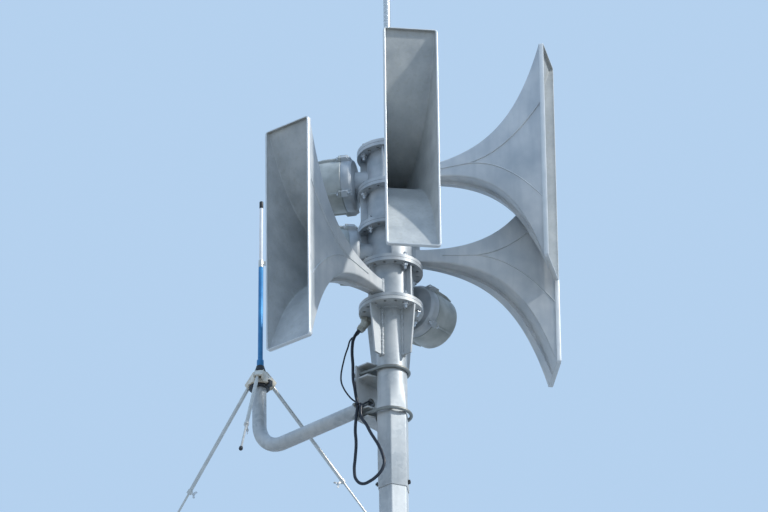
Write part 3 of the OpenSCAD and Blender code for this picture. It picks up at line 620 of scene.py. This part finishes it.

# Drivers: behind each horn a turned ring and a domed cover clamp the diaphragm. Four lugs with
# stainless bolts hold them together, and a rib runs back over the cover from each lug.

# Cover metal: the casting of the column, duller, its colour darker with an olive cast that is painted shade
# and a painted reflection of the brown ground.
driver_metal_painted_shade = weathered(
    "driver_casting_painted_shade", ("#969C9A", "#BCC1BF"), patch_mm=45, detail=5, roughness=0.5, span=(0.3, 0.7),
    metallic=0.2,
    sand=dict(mm=2, detail=3, depth=0.00014, strength=0.5))


def add_prism(bm, place, outline, low, high, broken=0.0006):
    """A flat piece: an outline in local XY from low to high along Z, with its edges broken."""
    ends = add_loft(bm, [[place @ Vector((x, y, z)) for x, y in outline] for z in (low, high)])
    bm.normal_update()
    edges = {e for loop in ends for v in loop for e in v.link_edges if e.calc_face_angle(0) > 0.5}
    if broken:
        bmesh.ops.bevel(bm, geom=list(edges), offset=broken, offset_type="OFFSET", segments=2,
                        profile=0.5, affect="EDGES", material=-1, clamp_overlap=True)


upright = Matrix(((0, 1, 0, 0), (0, 0, 1, 0), (1, 0, 0, 0), (0, 0, 0, 1)))
ring_profile = [(0.030, 0.098), (0.056, 0.0985), (0.072, 0.101), (0.0785, 0.108), (0.079, 0.1095),
                (0.079, 0.131), (0.0782, 0.1325), (0.074, 0.133), (0.030, 0.133)]
cover_r, cover_flat_r, cover_start, cover_end, dome_d = 0.0795, 0.033, 0.1332, 0.230, 0.015
cover_profile = [(0.030, cover_start), (cover_r - 0.0012, cover_start), (cover_r, cover_start + 0.0012)]
for i in range(13):
    angle = math.radians(90 * i / 12)
    cover_profile.append((cover_flat_r + (cover_r - 0.0015 - cover_flat_r) * math.cos(angle),
                          cover_end - dome_d + dome_d * math.sin(angle)))
lug_r, lug_half_w, lug_bolt_size = 0.091, 0.009, 0.0065
for index, aim in enumerate(horn_aims):
    axis_z = head_high.z + index * module_h + horn_axis_rise
    out = (Matrix.Translation((0, 0, axis_z)) @ Matrix.Rotation(math.radians(aim + 180), 4, "Z")
           @ Matrix.Rotation(math.radians(90), 4, "Y"))
    ring, cover, bolts = bmesh.new(), bmesh.new(), bmesh.new()
    add_turned(ring, out, ring_profile, 72)
    add_turned(cover, out, cover_profile + [(0.012, cover_end)], 72)
    for k in range(4):
        lug = out @ Matrix.Rotation(math.radians(45 + 90 * k), 4, "Z")
        add_prism(ring, lug @ upright, [(0.101, 0.060), (0.104, 0.0775), (0.113, lug_r - 0.002),
                                        (0.115, lug_r), (0.133, lug_r), (0.133, 0.060)],
                  -lug_half_w, lug_half_w, 0.0012)
        add_prism(cover, lug @ upright, [(cover_start, 0.060), (cover_start, lug_r),
                                         (cover_start + 0.007, lug_r), (cover_start + 0.010, 0.080),
                                         (cover_start + 0.012, 0.060)], -lug_half_w, lug_half_w, 0.0012)
        add_prism(cover, lug @ upright, [(cover_start + 0.004, 0.060), (cover_start + 0.004, 0.0865),
                                         (cover_start + 0.055, 0.0855), (cover_end - 0.016, 0.0805),
                                         (cover_end - 0.016, 0.060)], -0.0025, 0.0025, 0.0008)
        seat = lug @ Matrix.Translation((0.0845, 0, 0))
        add_bolt_head(bolts, seat @ Matrix.Translation((0, 0, cover_start + 0.008)), lug_bolt_size)
        add_nut(bolts, seat @ Matrix.Translation((0, 0, 0.114)) @ Matrix.Rotation(math.pi, 4, "X"),
                lug_bolt_size, 0.004)
    finished(f"driver_clamp_ring_{index + 1}", ring, [cast],
             stands_for=[f"driver_ring_{index + 1}"])
    finished(f"driver_shell_{index + 1}", cover, [driver_metal_painted_shade],
             stands_for=[f"driver_cover_{index + 1}"])
    finished(f"driver_bolts_{index + 1}", bolts, [stainless])

# Side arm: a bent galvanised tube on a bracket of welded plate. Four flanges of the bracket are
# notched to the mast, and two U-bolts with nuts draw it up.
arm_azimuth = 139
plate_near, plate_far, plate_half_w = 0.080, 0.086, 0.066
plate_top, plate_low = -0.169, -0.349
hole_z, hole_r = -0.268, 0.0145
flange_d, flange_half_w, flange_front = 0.005, 0.060, 0.043
upper_pitch, lower_pitch = 0.039, 0.031
notch_half_w, notch_depth = 0.031, 0.034
arm_foot_r, arm_foot_z = 0.0225, -0.273
side = Matrix.Translation((0, 0, head_low.z)) @ Matrix.Rotation(math.radians(arm_azimuth), 4, "Z")
dressed("antenna_arm", galvanised, edge_mm=0.5)

bm = bmesh.new()
corners = [(sy * plate_half_w, z - hole_z) for sy in (-1, 1) for z in (plate_low, plate_top)]
angles = sorted([math.radians(7.5 * i) for i in range(48)]
                + [math.atan2(z, y) % (2 * math.pi) for y, z in corners])
outer, inner = [], []
for angle in angles:
    y, z = math.cos(angle), math.sin(angle)
    limit_z = (plate_top - hole_z) if z > 0 else (hole_z - plate_low)
    reach = min(plate_half_w / max(abs(y), 1e-6), limit_z / max(abs(z), 1e-6))
    outer.append((y * reach, hole_z + z * reach))
    inner.append((y * hole_r, hole_z + z * hole_r))
shrink = 0.0008
rings = []
for outline, x, scale in ((outer, plate_near, 1 - shrink / 0.08), (outer, plate_near + shrink, 1),
                          (outer, plate_far - shrink, 1), (outer, plate_far, 1 - shrink / 0.08),
                          (inner, plate_far, 1), (inner, plate_near, 1)):
    rings.append([side @ Vector((x, y * scale, hole_z + (z - hole_z) * scale)) for y, z in outline])
add_loft(bm, rings, closed=True)
for z, notch_r in ((plate_top, pipe_r), (plate_top - upper_pitch, pipe_r),
                   (plate_low + flange_d + lower_pitch, sleeve_corner),
                   (plate_low + flange_d, sleeve_corner)):
    notch_r += 0.0004
    tip = 1.02 * math.atan2(notch_half_w, notch_depth)
    arc = [(notch_r * math.cos(a), notch_r * math.sin(a)) for a in
           (tip - 2 * tip * i / 20 for i in range(21))]
    outline = [(plate_near, -flange_half_w), (plate_near, flange_half_w), (flange_front, flange_half_w)]
    outline += arc + [(flange_front, -flange_half_w)]
    add_prism(bm, side, outline, z - flange_d, z, 0.0006)
finished("arm_bracket", bm, [galvanised], stands_for=["antenna_bracket"])

bm = bmesh.new()
foot = [side @ Vector((plate_far + 0.001, arm_foot_r * math.cos(a), arm_foot_z + arm_foot_r * math.sin(a)))
        for a in (math.radians(8 * i) for i in range(46))]
add_weld(bm, foot, 0.0034)
for z in (plate_top - flange_d, plate_top - upper_pitch - flange_d, plate_low + lower_pitch,
          plate_low + flange_d):
    add_weld(bm, [side @ Vector((plate_near - 0.001, -0.058, z)),
                  side @ Vector((plate_near - 0.001, 0.058, z))], 0.0024)
finished("bracket_welds", bm, [galvanised], smooth_degrees=80)

# U-bolts: 10 mm rod bent round the mast, dull zinc in a brownish grey that is partly painted shade. Their
# plane falls a little from the bracket towards the front, and each leg has a washer and nut outside the
# plate.

# Dull zinc: a thin electroplate gone chalky; its dark brownish tone is partly painted shade of the rods'
# undersides.
dull_zinc_and_shade = weathered(
    "dull_zinc_and_shade", ("#6E6F6B", "#A5A59F"), patch_mm=16, detail=5, roughness=0.5, metallic=0.75)


def add_tube(bm, path, radii, sides=16):
    """A round bar along a path; radii is one radius, or one for each point."""
    if not isinstance(radii, list):
        radii = [radii] * len(path)
    angles = [2 * math.pi * i / sides for i in range(sides)]
    normal = (path[1] - path[0]).orthogonal()
    rings = []
    for i, (point, radius) in enumerate(zip(path, radii)):
        along = (path[min(i + 1, len(path) - 1)] - path[max(i - 1, 0)]).normalized()
        normal = (normal - along * normal.dot(along)).normalized()
        across = along.cross(normal)
        rings.append([point + radius * (math.cos(a) * normal + math.sin(a) * across) for a in angles])
    add_loft(bm, rings)


rod_r, rod_tilt, rod_nut_size = 0.005, math.radians(4), 0.0098
for name, node, meets, mast_r in (("upper_mast_clamp", "upper_u_bolt", -0.192, pipe_r),
                                  ("lower_mast_clamp", "lower_u_bolt", -0.3325, sleeve_corner)):
    frame_u = (side @ Matrix.Translation((plate_near, 0, meets)) @ Matrix.Rotation(-rod_tilt, 4, "Y")
               @ Matrix.Translation((-plate_near / math.cos(rod_tilt), 0, 0)))
    bend_r = mast_r + 0.0003 + rod_r
    leg_end = plate_far + 0.020
    path = [Vector((leg_end, bend_r, 0)), Vector((leg_end - 0.0012, bend_r, 0)),
            Vector((0.02, bend_r, 0))]
    path += [Vector((bend_r * math.cos(a), bend_r * math.sin(a), 0))
             for a in (math.radians(90 + 7.5 * i) for i in range(25))]
    path += [Vector((0.02, -bend_r, 0)), Vector((leg_end - 0.0012, -bend_r, 0)),
             Vector((leg_end, -bend_r, 0))]
    bm = bmesh.new()
    radii = [rod_r - 0.001] + [rod_r] * (len(path) - 2) + [rod_r - 0.001]
    add_tube(bm, [frame_u @ point for point in path], radii, 20)
    for y in (-bend_r, bend_r):
        add_bolt_head(bm, frame_u @ Matrix.Translation((plate_far + 0.0003, y, 0))
                      @ Matrix.Rotation(math.radians(90), 4, "Y"), rod_nut_size)
    finished(name, bm, [dull_zinc_and_shade], stands_for=[node])

# Antenna: a ground-plane aerial. A cream moulded hub stands on the arm's end in a black clamp, with
# a blue anodised lower whip, a white upper one and three telescopic aluminium radials screwed in.

# Cream moulding: slightly chalky plastic, warm, with dirt in soft patches.
cream = weathered(
    "cream_hub", ("#BDB8A8", "#E6E2D6"), patch_mm=18, detail=5, roughness=0.55)

# Blue anodised aluminium: clear deep blue with a metallic sheen, a little faded in bands.
blue = weathered(
    "blue_anodised", ("#1E609C", "#4E9CCB"), patch_mm=35, detail=3, roughness=0.42, metallic=0.35)

# Drawn aluminium of the radials: pale and satin with a warm haze.
drawn = weathered(
    "drawn_aluminium", ("#B3B0AA", "#DDDAD4"), patch_mm=24, detail=4, roughness=0.42, metallic=0.85)

# White sleeve of the upper whip: glass-fibre tube with a smooth skin.
white = weathered(
    "white_sleeve", ("#DADDE0", "#F3F4F4"), patch_mm=25, detail=3, roughness=0.4)

# Black moulding: clamp ring, collar and end caps, dull near-black plastic.
black = weathered(
    "black_moulding", ("#131418", "#2B2D31"), patch_mm=8, detail=4, roughness=0.48)

for node in ("radial_front", "radial_right", "radial_left"):
    dressed(node, drawn, edge_mm=0.4)

hub_low, hub_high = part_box("antenna_hub")
arm_reach = 0.523
stand = Vector((arm_reach * math.cos(math.radians(arm_azimuth)),
                arm_reach * math.sin(math.radians(arm_azimuth)), 0))
hub_shift, hub_drop = 0.003, 0.008
hub_core_r, hub_nose_r, hub_lobe_r, hub_azimuth = 0.039, 0.0155, 0.0475, -97
hub_foot = hub_low.z - hub_drop
hub_h = hub_high.z - hub_low.z
hub_place = Matrix.Translation(stand + Vector((hub_shift, 0, hub_foot))) @ Matrix.Rotation(
    math.radians(hub_azimuth), 4, "Z")
bm = bmesh.new()
add_turned(bm, hub_place, [
    (hub_core_r - 0.002, -0.012), (hub_core_r, -0.010), (0.031, 0.017), (hub_nose_r + 0.001, hub_h - 0.002),
    (hub_nose_r - 0.001, hub_h)], 12)
for k in range(3):
    lobe = hub_place @ Matrix.Rotation(math.radians(120 * k), 4, "Z") @ upright
    for low in (-0.0135, 0.0095):
        add_prism(bm, lobe, [(-0.006, 0.010), (-0.006, hub_lobe_r - 0.006), (0.006, hub_lobe_r),
                             (hub_h - 0.002, hub_nose_r + 0.001), (hub_h - 0.002, 0.010)],
                  low, low + 0.004, 0.0009)
    add_prism(bm, lobe, [(0.0065, hub_lobe_r - 0.0005), (hub_h - 0.0025, hub_nose_r + 0.0005),
                         (hub_h - 0.0075, hub_nose_r - 0.001), (0.0025, hub_lobe_r - 0.0035)],
              -0.012, 0.012, 0.0006)
finished("moulded_hub", bm, [cream], smooth_degrees=30, stands_for=["antenna_hub"])

collar_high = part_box("hub_collar")[1]
bm = bmesh.new()
add_turned(bm, Matrix.Translation(stand + Vector((hub_shift, 0, 0))), [
    (hub_nose_r - 0.001, hub_foot + hub_h - 0.001), (hub_nose_r + 0.0012, hub_foot + hub_h + 0.001),
    (0.0118, collar_high.z - 0.001), (0.0105, collar_high.z)], 40)
finished("rubber_collar", bm, [black], stands_for=["hub_collar"])

clamp_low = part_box("arm_clamp")[0]
clamp_r, clamp_ear_r = 0.031, 0.041
bm = bmesh.new()
add_turned(bm, Matrix.Translation(stand), [
    (clamp_r - 0.001, clamp_low.z - hub_drop), (clamp_r, clamp_low.z - hub_drop + 0.001),
    (clamp_r, hub_foot - 0.001), (clamp_r - 0.001, hub_foot - 0.0002)], 48)
add_prism(bm, hub_place @ Matrix.Rotation(math.radians(60), 4, "Z"), [
    (0.02, -0.008), (clamp_ear_r, -0.008), (clamp_ear_r, 0.008), (0.02, 0.008)],
    clamp_low.z - hub_low.z + 0.002, -0.001, 0.001)
finished("arm_clamp_ring", bm, [black], stands_for=["arm_clamp"])

# The whip stands with the hub a little to the right of the arm's line, and leans over slightly.
whip_pivot = stand + Vector((0, 0, hub_high.z))
whip_lean = Matrix.Rotation(math.radians(0.55), 4, "Y")
whip_place = (Matrix.Translation(whip_pivot + Vector((hub_shift, 0, 0))) @ whip_lean
              @ Matrix.Translation(-whip_pivot))
whip_axis = whip_place @ Matrix.Translation(stand)
dressed("whip_clamp", drawn, edge_mm=0.4).data.transform(whip_place)
whip_low, whip_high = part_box("whip_lower")
bm = bmesh.new()
add_turned(bm, whip_axis, [
    (0.0098, whip_low.z), (0.0105, whip_low.z + 0.001), (0.0105, whip_low.z + 0.019),
    (0.0092, whip_low.z + 0.021), (0.0075, whip_low.z + 0.0225), (0.0073, whip_high.z - 0.001),
    (0.0066, whip_high.z)], 32)
finished("whip_blue_tube", bm, [blue], stands_for=["whip_lower"])
upper_low, upper_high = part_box("whip_upper")
bm = bmesh.new()
add_turned(bm, whip_axis, [
    (0.005, upper_low.z), (0.0053, upper_low.z + 0.001), (0.0053, upper_high.z)], 32)
finished("whip_white_tube", bm, [white], stands_for=["whip_upper"])
cap_low, cap_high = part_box("whip_cap")
bm = bmesh.new()
add_turned(bm, whip_axis, [
    (0.0055, cap_low.z), (0.006, cap_low.z + 0.001), (0.006, cap_high.z - 0.003),
    (0.0052, cap_high.z - 0.001), (0.0035, cap_high.z)], 32)
finished("whip_end_cap", bm, [black], stands_for=["whip_cap"])

# Small parts of the antenna: wing screws that clamp the telescopic tubes, a cap on each radial's
# tip, and a screw in the hub between each two lobes.
radial_tilt, radial_seat_r, radial_seat_z = math.radians(39), 0.018, hub_high.z - 0.020
radial_clamp, radial_end = 0.3915, 0.577


def add_wing_screw(bm, place):
    """A screw along local X with two flat wings, its clamp's wall at the origin."""
    along = place @ Matrix.Rotation(math.radians(90), 4, "Y")
    add_turned(bm, along, [(0.0025, 0), (0.0025, 0.009), (0.0045, 0.0095), (0.0045, 0.014),
                           (0.0038, 0.015)], 16)
    for lean in (1, -1):
        add_prism(bm, along @ Matrix.Rotation(math.radians(90), 4, "X"), [
            (lean * 0.001, 0.011), (lean * 0.0045, 0.0105), (lean * 0.011, 0.016),
            (lean * 0.0105, 0.021), (lean * 0.007, 0.0215), (lean * 0.0035, 0.0155)],
            -0.0011, 0.0011, 0.0004)


screws, caps = bmesh.new(), bmesh.new()
for k in range(3):
    radial = (Matrix.Translation(stand + Vector((0, 0, radial_seat_z)))
              @ Matrix.Rotation(math.radians(hub_azimuth + 120 * k), 4, "Z")
              @ Matrix.Translation((radial_seat_r, 0, 0)) @ Matrix.Rotation(math.pi - radial_tilt, 4, "Y"))
    add_wing_screw(screws, radial @ Matrix.Translation((0.0075, 0, radial_clamp)))
    add_turned(caps, radial, [(0.0036, radial_end - 0.012), (0.0056, radial_end - 0.011),
                              (0.0062, radial_end - 0.003), (0.0052, radial_end + 0.001),
                              (0.003, radial_end + 0.002)], 20)
    seat = (hub_place @ Matrix.Rotation(math.radians(60 + 120 * k), 4, "Z")
            @ Matrix.Translation((0.0325, 0, 0.010)) @ Matrix.Rotation(math.radians(66), 4, "Y"))
    add_turned(screws, seat, [(0.003, -0.004), (0.003, 0.0005), (0.0024, 0.0012)], 16)
whip_clamp_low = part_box("whip_clamp")[0]
add_wing_screw(screws, whip_axis @ Matrix.Translation((0.0078, 0, whip_clamp_low.z + 0.013)))
finished("antenna_screws", screws, [stainless])
finished("radial_tips", caps, [black])

# Cable gland: an angled connector screwed up under the head flange, of nickelled brass gone dull.
# Its barrel leans outward, with a knurled compression nut at the end that grips the cables.

# Dull nickel: warm light grey with tan stains.
nickel = weathered(
    "dull_nickel", ("#8C8776", "#C6C4BB"), patch_mm=14, detail=5, roughness=0.46, metallic=0.7)

gland_azimuth, gland_reach, knuckle_drop, barrel_lean = 160, 0.079, 0.0135, 138
gland = (Matrix.Translation((0, 0, head_low.z)) @ Matrix.Rotation(math.radians(gland_azimuth), 4, "Z")
         @ Matrix.Translation((gland_reach, 0, 0)))
bm = bmesh.new()
add_turned(bm, gland, [(0.0145, -0.012), (0.016, -0.011), (0.016, -0.001), (0.0145, 0)], 6)
bmesh.ops.create_uvsphere(bm, u_segments=32, v_segments=16, radius=0.013,
                          matrix=gland @ Matrix.Translation((0, 0, -knuckle_drop)))
barrel = (gland @ Matrix.Translation((0, 0, -knuckle_drop))
          @ Matrix.Rotation(math.radians(barrel_lean), 4, "Y"))
profile = [(0.0125, 0.0), (0.0125, 0.014), (0.0118, 0.015), (0.0118, 0.017), (0.013, 0.018)]
profile += [(0.013 - 0.0004 * (i % 2) - 0.00016 * i, 0.019 + 0.0012 * i) for i in range(9)]
profile += [(0.0108, 0.0305), (0.0100, 0.031)]
add_turned(bm, barrel, profile, 36)
finished("angled_gland", bm, [nickel], stands_for=["cable_gland"])
bm = bmesh.new()
add_turned(bm, barrel, [(0.0088, 0.0295), (0.0088, 0.0322), (0.0080, 0.0330)], 32)
finished("gland_seal", bm, [black])

# Cable clip: a folded zinc-plated strip on the near edge of the bracket, with a saddle over the
# cables and one screw from the side.
clip_z = -0.302
bm = bmesh.new()
add_prism(bm, side @ Matrix.Translation((plate_near - 0.001, plate_half_w, clip_z)) @ upright,
          [(-0.006, 0), (0.006, 0), (0.006, 0.008), (-0.006, 0.008)], 0, 0.001, 0.0004)
add_prism(bm, side @ Matrix.Translation((plate_near, plate_half_w, clip_z)),
          [(0, 0), (0.006, 0), (0.006, 0.008), (0, 0.008)], -0.006, 0.006, 0.0006)
add_bolt_head(bm, side @ Matrix.Translation((plate_near + 0.003, plate_half_w + 0.008, clip_z))
              @ Matrix.Rotation(math.radians(-90), 4, "X"), 0.005)
finished("edge_clip", bm, [dull_zinc_and_shade], stands_for=["cable_clip"])

# Cables: a jacketed speaker cable and a thinner antenna cable run from the gland under the head by
# the clip on the bracket into its hole. Both are black rubber, smooth and slightly glossy.

# Rubber jacket: blue-black, with a soft sheen and a little dust.
rubber = weathered(
    "cable_rubber", ("#0D1220", "#202834"), patch_mm=30, detail=4, roughness=0.4)

speaker_route = [
    (-95.2, 30.4, -36.5), (-101.5, 32.8, -44), (-112, 33, -67), (-115, 31, -88), (-116, 27, -116),
    (-115, 24, -138), (-114, 20, -158), (-114, 14, -180), (-114, 9, -200), (-113, 3, -221),
    (-110, -2, -242), (-106, -5, -275), (-102, -4, -300), (-106, -6, -345), (-109, -12, -391),
    (-107, -20, -440), (-110, -28, -492), (-113, -34, -536), (-107, -42, -571), (-89, -52, -589),
    (-65, -64, -585), (-48, -67, -572), (-36, -69, -558), (-29, -70, -543), (-26, -70, -526),
    (-28, -69, -514), (-33, -66, -493), (-42, -61, -468), (-53, -53, -443), (-64, -44, -418),
    (-77, -29, -382), (-91, -14, -349), (-93, -12, -322), (-91, -7, -308), (-81, 11, -302),
    (-71, 27, -291), (-62, 41, -281), (-60, 52, -274), (-70, 65, -272),
]
antenna_route = [
    (-92.1, 38.9, -36.5), (-98.5, 41.2, -44), (-120, 34, -66), (-128, 30, -94), (-136, 25, -122),
    (-142, 21, -150), (-146, 17, -172), (-149, 13, -197), (-148, 9, -222), (-141, 4, -245),
    (-130, -2, -268), (-117, -8, -288), (-106, -13, -299), (-98, -13, -303), (-92, -2, -298),
    (-88, 11, -294), (-78, 28, -280), (-65, 41, -268), (-64, 48, -265), (-76, 58, -264),
]


def cable(name, node, route, diameter):
    points = [Vector((x / 1000, y / 1000, head_low.z + z / 1000)) for x, y, z in route]
    curve = bpy.data.curves.new(name, "CURVE")
    curve.dimensions = "3D"
    curve.bevel_depth = diameter / 2
    curve.bevel_resolution = 4
    curve.use_fill_caps = True
    curve.resolution_u = 6
    line = curve.splines.new("BEZIER")
    line.bezier_points.add(len(points) - 1)
    for knot, point in zip(line.bezier_points, points):
        knot.co = point
        knot.handle_left_type = knot.handle_right_type = "AUTO"
    curve.materials.append(rubber)
    piece = shown(bpy.data.objects.new(name, curve))
    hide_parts(node)


cable("speaker_lead", "speaker_cable", speaker_route, 0.0094)
cable("antenna_lead", "antenna_cable", antenna_route, 0.005)

# Studio: a pale round floor under the foot, a low key lamp from the right and a little in front,
# and a sky that is blue above, pale at the horizon and earth-brown below it. The camera and shiny
# surfaces see an even blue instead.

# Floor paint: matt pale grey.
floor_paint = weathered(
    "floor_paint", ("#D0D2D3", "#DCDDDE"), patch_mm=300, detail=2, roughness=0.8)
bm = bmesh.new()
bmesh.ops.create_circle(bm, cap_ends=True, segments=128, radius=1.6,
                        matrix=Matrix.Translation((0, 0, -0.001)))
floor_mesh = bpy.data.meshes.new("floor")
bm.to_mesh(floor_mesh)
bm.free()
floor_mesh.materials.append(floor_paint)
floor = bpy.data.objects.new("floor", floor_mesh)
bpy.context.scene.collection.objects.link(floor)
floor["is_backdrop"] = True

key_data = bpy.data.lights.new("key", "SUN")
key_data.energy = 3.1
key_data.angle = math.radians(3)
key_data.color = (1.0, 0.97, 0.92)
key = bpy.data.objects.new("key", key_data)
key_from = Vector((0.769, -0.311, 0.559))
key.rotation_euler = key_from.to_track_quat("Z", "Y").to_euler()
bpy.context.scene.collection.objects.link(key)

world = bpy.data.worlds.new("studio")
world.use_nodes = True
world.node_tree.nodes.clear()
direction = add(world, "ShaderNodeTexCoord").outputs["Generated"]
height = add(world, "ShaderNodeSeparateXYZ", {"Vector": direction}).outputs["Z"]
band = add(world, "ShaderNodeMapRange", {"Value": height, "From Min": -0.25, "From Max": 0.1})
dome = add(world, "ShaderNodeMapRange", {"Value": height, "From Min": 0.05, "From Max": 0.9})
above = add(world, "ShaderNodeMix", {
    0: dome.outputs["Result"], 6: linear("#C9D6E4"), 7: linear("#86A9D4")}, data_type="RGBA")
around = add(world, "ShaderNodeMix", {
    0: band.outputs["Result"], 6: linear("#5E5644"), 7: above.outputs[2]}, data_type="RGBA")
path = add(world, "ShaderNodeLightPath")
mirrored = add(world, "ShaderNodeMath", {
    0: path.outputs["Is Camera Ray"], 1: path.outputs["Is Glossy Ray"]}, operation="ADD")
seen = add(world, "ShaderNodeMath", {
    0: mirrored.outputs[0], 1: path.outputs["Is Transmission Ray"]}, operation="ADD", use_clamp=True)
backdrop = add(world, "ShaderNodeMix", {
    0: seen.outputs[0], 6: around.outputs[2], 7: linear("#90A7BF")}, data_type="RGBA")
light = add(world, "ShaderNodeBackground", {"Color": backdrop.outputs[2], "Strength": 1.65})
add(world, "ShaderNodeOutputWorld", {"Surface": light.outputs["Background"]})
bpy.context.scene.world = world
bpy.context.scene.view_settings.view_transform = "Standard"

corners = {"cad": cad_bounds, "visual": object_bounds()}
